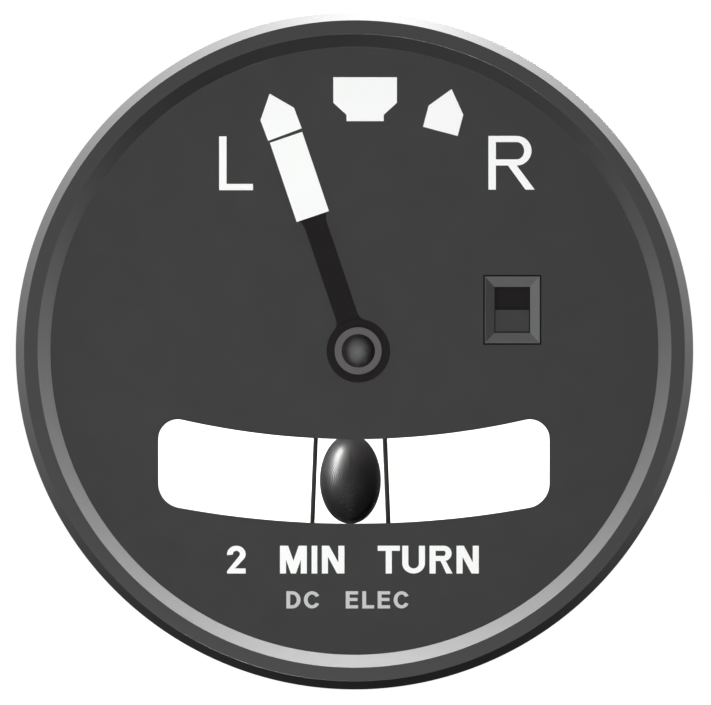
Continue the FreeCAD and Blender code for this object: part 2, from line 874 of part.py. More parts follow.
def gimbal_bushes():
    bore = gimbal_pivot_radius + running
    return [bush(gimbal_x, gimbal_z, bore, gimbal_bush_radius, plate_front, plate_rear),
            bush(gimbal_x, gimbal_z, bore, gimbal_bush_radius, rear_plate_front, rear_plate_rear)]


def pointer_bridge():
    """Three-legged bridge carrying the front end of the pointer staff and the flag bracket."""
    legs = [bar(pointer_x, 0, x, z, bridge_half_width, bridge_front, bridge_rear)
            for x, z in post_places]
    flag_post = post_places[2]
    legs.append(bar(flag_post[0], flag_post[1], flag_axis_x, flag_axis_z, bridge_half_width,
                    bridge_front, bridge_rear))
    bridge = joined(legs)
    low, high = bridge_front - 1, bridge_rear + 1
    bridge = bridge.cut(rod(pointer_x, 0, staff_bush_radius + slip, low, high))
    bridge = bridge.cut(rod(flag_axis_x, flag_axis_z, flag_staff_radius + 0.4, low, high))
    for x, z in post_places:
        bridge = bridge.cut(rod(x, z, frame_screw_radius + slip, low, high))
    return bridge


# Gears: flanks are involutes of the base circle
def tooth_flank(teeth, side, tooth_angle):
    """Points of one flank from root to tip; side is -1 or 1 of the tooth's centre line."""
    pitch = gear_module * teeth / 2
    base = pitch * math.cos(math.radians(pressure_angle))
    root, tip = pitch - 1.25 * gear_module, pitch + gear_module
    alpha = math.radians(pressure_angle)
    half = math.pi / (2 * teeth) - gear_backlash / (2 * pitch)
    start = max(root, base)
    radii = [start + (tip - start) * k / 4.0 for k in range(5)]
    points = []
    for radius in radii:
        turn = math.acos(min(1.0, base / radius))
        spread = half + (math.tan(alpha) - alpha) - (math.tan(turn) - turn)
        points.append((tooth_angle + side * math.degrees(spread), radius))
    if root < base:
        points.insert(0, (points[0][0], root))
    return points


def gear_disc(teeth, x, z, first_angle, y_front, y_rear):
    """Full spur gear about (x, z), with a tooth centred at first_angle."""
    step = 360.0 / teeth
    outline = []
    for k in range(teeth):
        centre = first_angle + k * step
        left = tooth_flank(teeth, -1, centre)
        right = tooth_flank(teeth, 1, centre)
        outline += [place(angle, radius, x, z) for angle, radius in left + right[::-1]]
    return prism(outline, y_front, y_rear)


def pointer_pinion():
    """Pinion with a space, not a tooth, at the bottom when the pointer is upright."""
    first = 180.0 - 180.0 / pinion_teeth
    pinion = gear_disc(pinion_teeth, pointer_x, 0, first, gear_front, gear_rear)
    pinion = joined([pinion, rod(pointer_x, 0, pinion_hub_radius, gear_front - pinion_hub_length, gear_front)])
    return with_pointer(pinion.cut(rod(pointer_x, 0, staff_radius + slip, gear_front - 2, gear_rear + 1)))


def sector_gear():
    """Toothed sector on the gimbal's front pivot, with a tooth straight up when level."""
    disc = gear_disc(sector_teeth, gimbal_x, gimbal_z, 0.0, gear_front, gear_rear)
    reach = 3 * gear_module * sector_teeth
    left = place(-sector_arc / 2, reach, gimbal_x, gimbal_z)
    right = place(sector_arc / 2, reach, gimbal_x, gimbal_z)
    fan = prism([(gimbal_x, gimbal_z), left, right], gear_front, gear_rear)
    hub = rod(gimbal_x, gimbal_z, sector_hub_radius, gear_front - sector_hub_length, gear_rear)
    sector = joined([disc.common(fan), hub])
    sector = sector.cut(rod(gimbal_x, gimbal_z, gimbal_pivot_radius + slip, gear_front - 1, gear_rear + 1))
    return with_gimbal(sector)


# Pointer assembly, built upright and turned to the rest pose
def pointer_staff():
    front = hub_front - collar_ring_thickness
    return rod(pointer_x, 0, staff_radius, front, plate_rear + 0.3)


def pointer_arm():
    """Hub disc with a parallel arm that flares to a shoulder and ends in a thin tongue."""
    half, wide = arm_width / 2, arm_shoulder_width / 2
    shoulder = tip_start - arm_shoulder_length
    reach = arm_shoulder_length
    curve = [(half + (wide - half) * (k / 4.0) ** 2, shoulder + reach * k / 4.0) for k in range(5)]
    right = [(half, 0.0)] + curve
    outline = [(pointer_x + x, z) for x, z in right + [(-x, z) for x, z in reversed(right)]]
    arm = prism(outline, pointer_front, pointer_rear)
    hub = rod(pointer_x, 0, hub_radius, hub_front, pointer_rear)
    body = joined([arm, rod(pointer_x, 0, hub_radius, pointer_front, pointer_rear)])

    def neck(edge):
        near = math.hypot(edge.BoundBox.XMin - pointer_x, edge.BoundBox.ZMin)
        return along_y(edge) and abs(near - hub_radius) < 0.05
    body = round_edges(body, arm_neck_fillet, neck)
    half_tongue = tongue_width / 2
    tongue = block(pointer_x - half_tongue, pointer_x + half_tongue, pointer_rear - tongue_thickness, pointer_rear,
                   tip_start - 0.5, tip_start + tongue_length)
    boss = rod(pointer_x, 0, hub_boss_radius, pointer_rear, dial_front - hub_boss_gap)
    arm = joined([body, hub, tongue, boss])
    return with_pointer(arm.cut(rod(pointer_x, 0, staff_radius + slip, hub_front - 1, dial_rear)))


def pointer_tip():
    half = tip_width / 2
    rear = pointer_rear - tongue_thickness
    return with_pointer(block(pointer_x - half, pointer_x + half, rear - tip_thickness, rear,
                              tip_start, tip_start + tip_length))


def pointer_collar():
    front = hub_front - collar_ring_thickness
    ring = sleeve(pointer_x, 0, collar_ring_radius, staff_radius + slip, front, hub_front)
    return broken(ring, collar_ring_chamfer, rim_at(collar_ring_radius, front))


def pointer_cap():
    """Shallow dome, part of a sphere, closing the end of the staff."""
    base = hub_front - collar_ring_thickness
    sphere_radius = (cap_radius ** 2 + cap_height ** 2) / (2 * cap_height)
    centre = base - cap_height + sphere_radius
    ball = Part.makeSphere(sphere_radius, V(pointer_x, centre, 0))
    return ball.common(rod(pointer_x, 0, cap_radius + 1, base - cap_height - 1, base))


def pointer_counterweight():
    front = bridge_rear + counterweight_gap
    rear = front + counterweight_thickness
    tail = bar(pointer_x, 0, pointer_x, -counterweight_reach, counterweight_tail, front, rear)
    weight = rod(pointer_x, -counterweight_reach, counterweight_radius, front, rear)
    hub = rod(pointer_x, 0, pinion_hub_radius, front, rear)
    piece = joined([tail, weight, hub])
    return with_pointer(piece.cut(rod(pointer_x, 0, staff_radius + slip, front - 1, rear + 1)))


# Curved inclinometer, built at its lowest point and swept about the centre of its curve
def curved_rod(radius, half_angle):
    circle = Part.makeCircle(radius, V(tube_x, tube_y, tube_z - tube_curve_radius), V(1, 0, 0))
    face = Part.Face(Part.Wire(circle))
    face.rotate(V(tube_x, 0, tube_z), Y_AXIS, -half_angle)
    return face.revolve(V(tube_x, 0, tube_z), Y_AXIS, 2 * half_angle)


def along_tube(shape, angle):
    """Moves a piece built at the tube's lowest point; positive goes to the viewer's right."""
    return spun(shape, -angle, tube_x, tube_z)


def inclinometer_tube():
    return curved_rod(tube_radius, tube_half_angle).cut(curved_rod(tube_bore, tube_half_angle + 0.5))


def inclinometer_end_caps():
    middle = tube_z - tube_curve_radius
    caps = []
    for side in (-1, 1):
        low, high = sorted((tube_x, tube_x + side * end_cap_length))
        cap = cross_rod(low, high, tube_y, middle, tube_radius)
        inner, outer = sorted((tube_x - side * end_plug_length, tube_x))
        plug = cross_rod(inner, outer, tube_y, middle, tube_bore - 2 * slip)
        caps.append(along_tube(joined([cap, plug]), side * tube_half_angle))
    return caps


def inclinometer_backing():
    inner = tube_radius + slip
    shell = curved_rod(inner + backing_thickness, tube_half_angle)
    shell = shell.cut(curved_rod(inner, tube_half_angle + 0.5))
    reach = tube_curve_radius
    return shell.common(block(tube_x - reach, tube_x + reach, tube_y, tube_y + reach,
                              tube_z - 2 * reach, tube_z))


def reference_wires():
    """Two hoops of wire round the tube and its backing, drawn with a six-sided wire."""
    hoop_radius = tube_radius + slip + backing_thickness + slip + wire_radius
    wires = []
    for x in (wire_left_x, wire_right_x):
        angle = math.degrees(math.asin((x - tube_x) / tube_curve_radius))
        centre = V(tube_x, tube_y, tube_z - tube_curve_radius)
        corners = [place(60 * k, wire_radius, tube_x, centre.z + hoop_radius) for k in range(7)]
        section = Part.Face(Part.makePolygon([V(across, tube_y, up) for across, up in corners]))
        wires.append(along_tube(section.revolve(centre, V(1, 0, 0), 360), angle))
    return wires


def strap_radii():
    inner = tube_radius + slip + backing_thickness + slip
    return inner, inner + strap_thickness


def inclinometer_straps():
    """Saddle round the back of the tube, with ears that lie on the rear of the dial."""
    inner, outer = strap_radii()
    middle = tube_z - tube_curve_radius
    half = strap_width / 2
    arch = cross_rod(tube_x - half, tube_x + half, tube_y, middle, outer)
    arch = arch.common(block(tube_x - half, tube_x + half, tube_y, tube_y + 2 * outer,
                             middle - 2 * outer, middle + 2 * outer))
    pieces = [arch]
    for side in (-1, 1):
        low, high = sorted((middle + side * inner, middle + side * outer))
        pieces.append(block(tube_x - half, tube_x + half, dial_rear, tube_y, low, high))
        low, high = sorted((middle + side * inner, middle + side * (outer + strap_ear)))
        pieces.append(block(tube_x - half, tube_x + half, dial_rear, dial_rear + strap_thickness, low, high))
    strap = joined(pieces).cut(cross_rod(tube_x - strap_width, tube_x + strap_width, tube_y, middle, inner))
    for side in (-1, 1):
        z = middle + side * (outer + strap_ear / 2)
        strap = strap.cut(rod(tube_x, z, stud_radius + slip, dial_rear - 1, dial_rear + 2))
    return [along_tube(strap, angle) for angle in (-strap_angle, strap_angle)]


def strap_studs():
    """Stud standing on the rear of the dial, with its hexagon nut."""
    outer = strap_radii()[1]
    middle = tube_z - tube_curve_radius
    nut_front = dial_rear + strap_thickness
    nut_rear = nut_front + strap_nut_height
    studs = []
    for angle in (-strap_angle, strap_angle):
        for side in (-1, 1):
            z = middle + side * (outer + strap_ear / 2)
            corners = [place(60 * k, strap_nut_radius, tube_x, z) for k in range(6)]
            nut = prism(corners, nut_front, nut_rear)
            stud = rod(tube_x, z, stud_radius, dial_rear, nut_rear + stud_end)
            studs.append(along_tube(joined([nut, stud]), angle))
    return studs


def inclinometer_ball():
    low = tube_z - tube_curve_radius - (tube_bore - ball_radius - ball_clearance)
    return Part.makeSphere(ball_radius, V(tube_x, tube_y, low))


# Power warning flag
def flag_leaf(y_front):
    rear = y_front + flag_leaf_thickness
    leaf = bar(flag_axis_x, flag_axis_z, coil_x, coil_z, flag_leaf_half_width, y_front, rear)
    leaf = leaf.cut(rod(flag_axis_x, flag_axis_z, flag_staff_radius + running, y_front - 1, rear + 1))
    return leaf.cut(rod(coil_x, coil_z, core_radius + slip, y_front - 1, rear + 1))


def flag_bracket():
    """Two leaves for the flag staff and the coil, joined by a web at the case side."""
    right = flag_axis_x + flag_leaf_half_width
    web = block(right - flag_web_thickness, right, flag_leaf_front, bridge_front,
                flag_axis_z - flag_web_half_height, flag_axis_z + flag_web_half_height)
    return joined([flag_leaf(flag_leaf_front), flag_leaf(bridge_front - flag_leaf_thickness), web])


def flag_coil():
    """Wound bobbin: two cheeks and the winding between them."""
    pieces = [rod(coil_x, coil_z, coil_radius, coil_front, coil_front + coil_cheek),
              rod(coil_x, coil_z, coil_radius, coil_rear - coil_cheek, coil_rear),
              rod(coil_x, coil_z, coil_radius - coil_winding_step, coil_front, coil_rear)]
    return joined(pieces).cut(rod(coil_x, coil_z, core_radius + slip, coil_front - 1, coil_rear + 1))


def flag_core():
    return rod(coil_x, coil_z, core_radius, flag_leaf_front - core_nose, bridge_front)


def vane_front():
    return dial_rear + flag_flange_thickness + vane_gap


def flag_vane():
    """Thin plate behind the flag window on an arm from its staff."""
    front = vane_front()
    rear = front + vane_thickness
    plate = block(vane_left_x, vane_right_x, front, rear, vane_bottom_z, vane_top_z)
    arm = bar(vane_right_x - 1.5, flag_axis_z, flag_axis_x, flag_axis_z, flag_arm_half_width, front, rear)
    hub = rod(flag_axis_x, flag_axis_z, flag_hub_radius, front, rear)
    vane = joined([plate, arm, hub])
    return vane.cut(rod(flag_axis_x, flag_axis_z, flag_staff_radius + slip, front - 1, rear + 1))


def flag_staff():
    """Staff with the soft-iron armature that the coil's core draws towards itself."""
    front = vane_front() + vane_thickness + 0.1
    rear = front + armature_thickness
    reach = math.hypot(coil_x - flag_axis_x, coil_z - flag_axis_z)
    share = armature_length / reach
    end_x = flag_axis_x + (coil_x - flag_axis_x) * share
    end_z = flag_axis_z + (coil_z - flag_axis_z) * share
    armature = bar(flag_axis_x, flag_axis_z, end_x, end_z, armature_width / 2, front, rear)
    shaft = rod(flag_axis_x, flag_axis_z, flag_staff_radius, vane_front() - 0.3, bridge_front + 0.6)
    return joined([armature, shaft])


# Gimbal, built level and turned to the rest pose
def gimbal_frame():
    """Rectangular ring with round bearing bosses and a pivot at each end."""
    outer_y, inner_y = gimbal_half_span, gimbal_half_span - gimbal_bar
    outer_x, inner_x = gimbal_half_width, gimbal_half_width - gimbal_bar
    low, high = gimbal_z - gimbal_half_height, gimbal_z + gimbal_half_height
    outside = block(gimbal_x - outer_x, gimbal_x + outer_x, rotor_y - outer_y, rotor_y + outer_y, low, high)
    inside = block(gimbal_x - inner_x, gimbal_x + inner_x, rotor_y - inner_y, rotor_y + inner_y,
                   low - 1, high + 1)

    def upright(edge):
        return edge.BoundBox.XLength < 1e-4 and edge.BoundBox.YLength < 1e-4
    ring = round_edges(outside, gimbal_corner, upright).cut(round_edges(inside, gimbal_inner_corner, upright))
    boss = bearing_radius + bearing_boss
    bosses = [cross_rod(gimbal_x + low_x, gimbal_x + high_x, rotor_y, gimbal_z, boss)
              for low_x, high_x in ((-outer_x, -inner_x), (inner_x, outer_x))]
    pivots = [rod(gimbal_x, gimbal_z, gimbal_pivot_radius, gear_front - 0.8, rotor_y - outer_y + 0.5),
              rod(gimbal_x, gimbal_z, gimbal_pivot_radius, rotor_y + outer_y - 0.5,
                  rear_plate_rear + pivot_tail)]
    frame = joined([ring] + bosses + pivots)
    bore = cross_rod(gimbal_x - 2 * outer_x, gimbal_x + 2 * outer_x, rotor_y, gimbal_z, bearing_radius + slip)
    frame = frame.cut(bore)
    lug_z = gimbal_z - spring_top_below_axis
    lug_y = rotor_y - outer_y + gimbal_bar / 2
    lug = block(gimbal_x - lug_radius, gimbal_x + lug_radius, lug_y - lug_thickness / 2,
                lug_y + lug_thickness / 2, lug_z - 0.2, gimbal_z - gimbal_half_height + 0.5)
    return with_gimbal(joined([frame, lug]))


def bearing_spans():
    middle = gimbal_half_width - gimbal_bar / 2
    half = bearing_width / 2
    return [(-middle - half, -middle + half), (middle - half, middle + half)]


def bearing_outer_rings():
    """Outer races with thin shields that reach almost to the inner races."""
    race = bearing_radius - bearing_race
    lip = rotor_shaft_radius + slip + bearing_race + running
    rings = []
    for low, high in bearing_spans():
        rings.append(with_gimbal(cross_turned([
            (bearing_radius, low), (bearing_radius, high), (lip, high), (lip, high - bearing_shield),
            (race, high - bearing_shield), (race, low + bearing_shield),
            (lip, low + bearing_shield), (lip, low)])))
    return rings


def bearing_inner_rings():
    inner = rotor_shaft_radius + slip
    return [with_gimbal(cross_ring(inner + bearing_race, inner, low, high)) for low, high in bearing_spans()]


def field_magnet():
    """Ring magnet that reaches into the rotor from the left side bar."""
    wall = gimbal_half_width - gimbal_bar
    end = -rotor_web / 2 - winding_gap
    inner = magnet_radius - magnet_wall
    magnet = cross_turned([(inner, -wall), (magnet_flange_radius, -wall),
                           (magnet_flange_radius, -wall + magnet_flange),
                           (magnet_radius, -wall + magnet_flange), (magnet_radius, end), (inner, end)])
    return with_gimbal(magnet)


def rotor_flywheel():
    """Heavy rim on a thin web, with its corners broken."""
    bore = rotor_shaft_radius + slip
    rim, web, hub = rotor_radius - rotor_rim, rotor_web / 2, rotor_hub_half_width
    edge, half = rotor_edge, rotor_half_width
    right = [(bore, hub), (rotor_hub_radius, hub), (rotor_hub_radius, web), (rim, web), (rim, half),
             (rotor_radius - edge, half), (rotor_radius, half - edge)]
    left = [(radius, -x) for radius, x in reversed(right)]
    return with_gimbal(cross_turned(right + left))


def rotor_shaft():
    reach = gimbal_half_width + rotor_shaft_end
    return with_gimbal(cross_rod(gimbal_x - reach, gimbal_x + reach, rotor_y, gimbal_z, rotor_shaft_radius))


def rotor_windings():
    inner = magnet_radius + winding_gap
    return with_gimbal(cross_ring(winding_radius, inner, -rotor_half_width + winding_margin, -rotor_web / 2))


def commutator():
    start = rotor_hub_half_width
    return with_gimbal(cross_ring(commutator_radius, rotor_shaft_radius + slip, start,
                                  start + commutator_length))


def brush_x():
    return gimbal_x + rotor_hub_half_width + commutator_length / 2


def brushes():
    half = brush_width / 2
    pieces = []
    for side in (-1, 1):
        near = commutator_radius + running
        low, high = sorted((gimbal_z + side * near, gimbal_z + side * (near + brush_length)))
        pieces.append(with_gimbal(block(brush_x() - half, brush_x() + half, rotor_y - half,
                                        rotor_y + half, low, high)))
    return pieces


def brush_holders():
    """Base on the right side bar with a box round each brush."""
    half = brush_width / 2 + slip
    outer = half + brush_holder_wall
    wall = gimbal_x + gimbal_half_width - gimbal_bar
    near = commutator_radius + running + brush_holder_gap
    far = commutator_radius + brush_length + brush_holder_extra
    reach = brush_base_half_width
    base = block(wall - brush_base_thickness, wall, rotor_y - reach, rotor_y + reach,
                 gimbal_z - far, gimbal_z + far)
    base = base.cut(cross_rod(wall - 2 * brush_base_thickness, wall + 1, rotor_y, gimbal_z, bearing_radius))
    pieces = [base]
    for side in (-1, 1):
        low, high = sorted((gimbal_z + side * near, gimbal_z + side * far))
        pieces.append(block(brush_x() - outer, wall, rotor_y - outer, rotor_y + outer, low, high))
    holder = joined(pieces)
    channel = block(brush_x() - half, brush_x() + half, rotor_y - half, rotor_y + half,
                    gimbal_z - far - 1, gimbal_z + far + 1)
    return with_gimbal(holder.cut(channel))


# Damper and centring spring
def damper_arm():
    """Upright arm on the gimbal's front bar, with the pin that drives the damper."""
    front = rotor_y - gimbal_half_span
    rear = front + damper_arm_thickness
    foot_z = gimbal_z + gimbal_half_height
    top = gimbal_z + damper_arm_height
    half = damper_arm_width / 2
    foot = block(gimbal_x - 2 * half, gimbal_x + 2 * half, front, front + gimbal_bar, foot_z, foot_z + 1.0)
    upright = block(gimbal_x - half, gimbal_x + half, front, rear, foot_z, top)
    eye = rod(gimbal_x, top, half, front, rear)
    pin = rod(gimbal_x, top, damper_pin_radius, rear - 0.5, rear + damper_pin_length)
    return with_gimbal(joined([foot, upright, eye, pin]))


def damper_cylinder():
    bore = damper_radius - damper_wall
    body = cross_rod(damper_left, damper_right, damper_y, damper_z, damper_radius)
    body = body.cut(cross_rod(damper_left + damper_end_wall, damper_right - damper_end_wall,
                              damper_y, damper_z, bore))
    return body.cut(cross_rod(damper_right - 2 * damper_end_wall, damper_right + 1, damper_y, damper_z,
                              damper_rod_radius + running))


def damper_bracket():
    """Saddle that holds the damper on the rear of the front plate."""
    middle = (damper_left + damper_right) / 2
    half = damper_radius + saddle_wall
    reach = saddle_length / 2
    saddle = block(middle - reach, middle + reach, plate_rear, damper_y + saddle_past_axis, damper_z - half, damper_z + half)
    return saddle.cut(cross_rod(damper_left - 1, damper_right + 1, damper_y, damper_z,
                                damper_radius + slip))


def damper_piston():
    """Piston, rod and slotted yoke in one turned and milled piece."""
    half = damper_piston_length / 2
    bore = damper_radius - damper_wall
    piston = cross_rod(damper_piston_x - half, damper_piston_x + half, damper_y, damper_z, bore - running)
    stem = cross_rod(damper_piston_x, damper_pin_x - yoke_width / 2 + 0.5, damper_y, damper_z,
                     damper_rod_radius)
    yoke = block(damper_pin_x - yoke_width / 2, damper_pin_x + yoke_width / 2,
                 damper_y - yoke_thickness / 2, damper_y + yoke_thickness / 2,
                 damper_z - yoke_height / 2, damper_z + yoke_height / 2)
    slot = damper_pin_radius + yoke_slot_clearance
    opening = block(damper_pin_x - slot, damper_pin_x + slot, damper_y - 3, damper_y + 3,
                    damper_z - yoke_slot_height / 2, damper_z + yoke_slot_height / 2)
    return joined([piston, stem, yoke]).cut(opening)


def spring_ends():
    """Upper end just below the gimbal's lug, and lower end at the anchor, as (x, z)."""
    turn = math.radians(gimbal_rest)
    reach = spring_top_below_axis + spring_gap
    top = (gimbal_x - reach * math.sin(turn), gimbal_z - reach * math.cos(turn))
    return top, (gimbal_x, spring_anchor_z + anchor_radius)


def centering_spring():
    """Coil, drawn with a six-sided wire, between the lug and the anchor, leaning with the lug."""
    (top_x, top_z), (low_x, low_z) = spring_ends()
    length = math.hypot(top_x - low_x, top_z - low_z) - 2 * spring_wire
    helix = Part.makeHelix(length / spring_turns, length, spring_radius)
    corners = [place(60 * k, spring_wire, spring_radius, 0) for k in range(7)]
    section = Part.makePolygon([V(x, 0, z) for x, z in corners])
    coil = Part.Wire(helix.Edges).makePipeShell([section], True, True)
    coil = Part.Solid(coil) if coil.ShapeType != "Solid" else coil
    lean = math.degrees(math.atan2(top_x - low_x, top_z - low_z))
    coil.rotate(V(0, 0, 0), Y_AXIS, lean)
    y = rotor_y - gimbal_half_span + gimbal_bar / 2
    coil.translate(V(low_x, y, low_z + spring_wire))
    return coil


def spring_anchor():
    """Post on the front plate that holds the lower end of the spring."""
    rear = rotor_y - gimbal_half_span + gimbal_bar + anchor_past_spring
    post = rod(gimbal_x, spring_anchor_z, anchor_radius, plate_rear, rear)
    return joined([post, rod(gimbal_x, spring_anchor_z, anchor_radius + anchor_flange,
                             rear - anchor_flange_thickness, rear)])


def build():
    os.makedirs("parts", exist_ok=True)
    save("bezel_ring", bezel_ring())
    save("glass_gasket", glass_gasket())
    save("cover_glass", cover_glass())
    save("dial_spacer_ring", dial_spacer_ring())
    save("dial_plate", dial_plate())
    save("dial_index_marks",
         house_mark(house_left_angle, house_left_radius, house_left_tilt),
         house_mark(house_right_angle, house_right_radius, house_right_tilt), centre_index())
    save("flag_window_frame", flag_window_frame())
    save("case_shell", case_shell())
    save("rear_cover", rear_cover())
    save("rear_cover_gasket", rear_cover_gasket())
    save("rear_cover_screws", *rear_cover_screws())
    save("cover_plugs", *cover_plugs())
    save("receptacle_shell", receptacle_shell())
    save("receptacle_insert", receptacle_insert())
    save("receptacle_pins", *receptacle_pins())
    save("receptacle_screws", *receptacle_screws())
    save("front_plate", front_plate())
    save("rear_plate", rear_plate())
    save("frame_pillars", *frame_pillars())
    save("frame_screws", *frame_screws())
    save("pointer_bridge", pointer_bridge())
    save("bridge_posts", *bridge_posts())
    save("staff_bushes", *staff_bushes())
    save("gimbal_bushes", *gimbal_bushes())
    save("inclinometer_tube", inclinometer_tube())
    save("inclinometer_end_caps", *inclinometer_end_caps())
    save("inclinometer_backing", inclinometer_backing())
    save("reference_wires", *reference_wires())
    save("inclinometer_straps", *inclinometer_straps())
    save("strap_studs", *strap_studs())
    save("inclinometer_ball", inclinometer_ball())
    save("damper_cylinder", damper_cylinder())
    save("damper_bracket", damper_bracket())
    save("damper_piston", damper_piston())
    save("damper_arm", damper_arm())
    save("centering_spring", centering_spring())
    save("spring_anchor", spring_anchor())
    save("flag_bracket", flag_bracket())
    save("flag_coil", flag_coil())
    save("flag_core", flag_core())
    save("flag_vane", flag_vane())
    save("flag_staff", flag_staff())
    save("gimbal_frame", gimbal_frame())
    save("sector_gear", sector_gear())
    save("bearing_outer_rings", *bearing_outer_rings())
    save("bearing_inner_rings", *bearing_inner_rings())
    save("field_magnet", field_magnet())
    save("brush_holders", brush_holders())
    save("brushes", *brushes())
    save("rotor_flywheel", rotor_flywheel())
    save("rotor_shaft", rotor_shaft())
    save("rotor_windings", rotor_windings())
    save("commutator", commutator())
    save("pointer_staff", pointer_staff())
    save("pointer_pinion", pointer_pinion())
    save("pointer_arm", pointer_arm())
    save("pointer_tip", pointer_tip())
    save("pointer_collar", pointer_collar())
    save("pointer_cap", pointer_cap())
    save("pointer_counterweight", pointer_counterweight())


build()
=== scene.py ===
"""Looks of an aircraft turn and bank indicator: surfaces, finishes, light and camera.

Metres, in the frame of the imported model: X to the viewer's right, Y into the instrument,
Z up. Sizes below are in millimetres and become metres in one place, when a mesh is written.
"""
import json
import math

import bmesh
import bpy
import numpy as np
from mathutils import Matrix, Vector


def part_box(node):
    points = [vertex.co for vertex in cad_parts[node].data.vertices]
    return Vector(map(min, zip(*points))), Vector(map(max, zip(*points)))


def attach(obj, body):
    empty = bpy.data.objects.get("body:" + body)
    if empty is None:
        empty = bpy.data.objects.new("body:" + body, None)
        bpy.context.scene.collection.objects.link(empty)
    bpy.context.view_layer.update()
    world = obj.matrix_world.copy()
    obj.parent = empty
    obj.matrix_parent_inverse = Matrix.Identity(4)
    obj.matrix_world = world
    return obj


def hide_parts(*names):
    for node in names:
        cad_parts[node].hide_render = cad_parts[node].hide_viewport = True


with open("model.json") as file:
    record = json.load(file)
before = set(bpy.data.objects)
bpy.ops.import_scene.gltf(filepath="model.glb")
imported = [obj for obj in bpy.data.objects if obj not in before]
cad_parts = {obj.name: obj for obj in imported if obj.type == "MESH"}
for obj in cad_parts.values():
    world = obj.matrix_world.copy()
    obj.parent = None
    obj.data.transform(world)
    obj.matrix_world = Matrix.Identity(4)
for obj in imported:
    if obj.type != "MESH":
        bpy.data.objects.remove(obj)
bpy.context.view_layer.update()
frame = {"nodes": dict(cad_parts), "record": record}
MM = 0.001


def node_box(node):
    """Low and high corner of a node, in millimetres."""
    low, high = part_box(node)
    return np.array(low) / MM, np.array(high) / MM


# Sizes read from the frame
BEZEL_LOW, BEZEL_HIGH = node_box("bezel_ring")
DIAL_LOW, DIAL_HIGH = node_box("dial_plate")
CASE_LOW, CASE_HIGH = node_box("case_shell")
COVER_LOW, COVER_HIGH = node_box("rear_cover")
SHELL_LOW, SHELL_HIGH = node_box("receptacle_shell")

# Sizes of the front, in millimetres
BEZEL_RADIUS = 39.60
OUTER_CHAMFER = 0.97
FLAT_BAND = 1.60
INNER_CHAMFER = 1.49
BEZEL_LAND = 0.51
BEZEL_WALL = 2.15
BEZEL_REAR_CHAMFER = 0.50
EDGE_BREAK = 0.10
FINE_EDGE = 0.06
DISC_EDGE = 0.20
OPENING_RADIUS = BEZEL_RADIUS - OUTER_CHAMFER - FLAT_BAND - INNER_CHAMFER
DIAL_FRONT = DIAL_LOW[1]
POINTER_X = 0.45
REST_TURN = -18.7
POINTER_TURN = (REST_TURN, POINTER_X, 0.0)

HUB_RADIUS = 3.72
COLLAR_RADIUS = 2.78
CAP_RADIUS = 1.96
CAP_CLOUD = 0.45
CAP_CLOUD_SIZE = 0.90
CAP_GRAIN = 0.10
CAP_GRAIN_DEPTH = 0.001
ARM_HALF = 1.325
ARM_WIDE_HALF = 1.675
ARM_NECK = 1.20
ARM_FLARE = 1.30
TIP_START = 16.60
STAFF_HOLE = 1.60
STAFF_RADIUS = 0.78
BOSS_RADIUS = 1.40
ARM_FRONT = -6.30
ARM_REAR = -5.80
ARM_EDGE = 0.05
TONGUE_HALF = 1.20
TONGUE_END = 25.20
TONGUE_LAP = 0.50
TIP_HALF = 2.00
TIP_END = 26.40
TIP_FRONT = -6.40
TIP_REAR = -6.05
SPACER_WALL = 1.35
SPACER_EDGE = 0.05

COLLAR_STEP = 0.95
CASE_WALL = 1.60
CASE_EDGE = 0.15
GASKET = 0.50
LEDGE_WIDTH = 4.40
LEDGE_FRONT = 20.0
LEDGE_REAR = 22.0
LEDGE_STEP = 3.0
MOUTH_STEP = 0.90
COVER_FLANGE_REAR = 101.5
SKIRT_WALL = 3.20
RIB_INSET = 4.00
RIB_WIDTH = 1.60
COVER_RADII = (0, 0.1, 0.1, 0.1, 0.1, 0.1, 1.6, 0.3, 0.25, 0.25, 0.3, 0)
FIT = 0.03

# Radial screws, receptacle and plugs of the rear, in millimetres
RIM_ANGLES = (0, 60, 120, 180, 240, 300)
RIM_HEAD = 2.30
RIM_SHANK = 1.25
RIM_LENGTH = 4.00
RIM_SINK = 0.15
RIM_INSET = 3.60
RIM_SLOT = 0.35
RIM_EDGE = 0.04
SLOT_HALF = 0.30
CUT_OUT = 2.0
CUT_IN = 5.0
RECEPTACLE_Z = -6.00
FLANGE_WIDTH = 23.00
FLANGE_THICKNESS = 2.00
FLANGE_CORNER = 2.40
FLANGE_SCREW_SPACING = 18.30
FLANGE_SCREW_HEIGHT = 1.60
FLANGE_SCREW_SHANK = 5.0
FLANGE_SCREW_SLOT = 0.60
FLANGE_SCREW_RADII = (0, 0.1, 0.05, 0.05, 0.45, 0)
FLANGE_EDGE = 0.15
BARREL_RADIUS = 7.94
BARREL_WALL = 0.95
BODY_RADIUS = 8.60
BODY_REACH = 1.50
LIP_OUTER = 0.45
LIP_INNER = 0.20
THREAD_PITCH = 1.06
THREAD_DEPTH = 0.45
THREAD_START = 0.80
THREAD_END = 0.60
THREAD_IN = 0.50
THREAD_OUT = 0.30
THREAD_SAMPLES = 12
PIN_RADIUS = 0.80
PIN_CIRCLE = 4.30
PIN_RADII = (0, 0.1, 0.5, 0)
PLUG_RADIUS = 3.40
PLUG_THREAD = 2.40
PLUG_X = 13.00
PLUG_Z = 21.00
PLUG_SHANK = 3.0
PLUG_SLOT_HALF = 0.40
PLUG_SLOT = 0.90
PLUG_RADII = (0, 0.1, 0.05, 0.05, 0.35, 0)

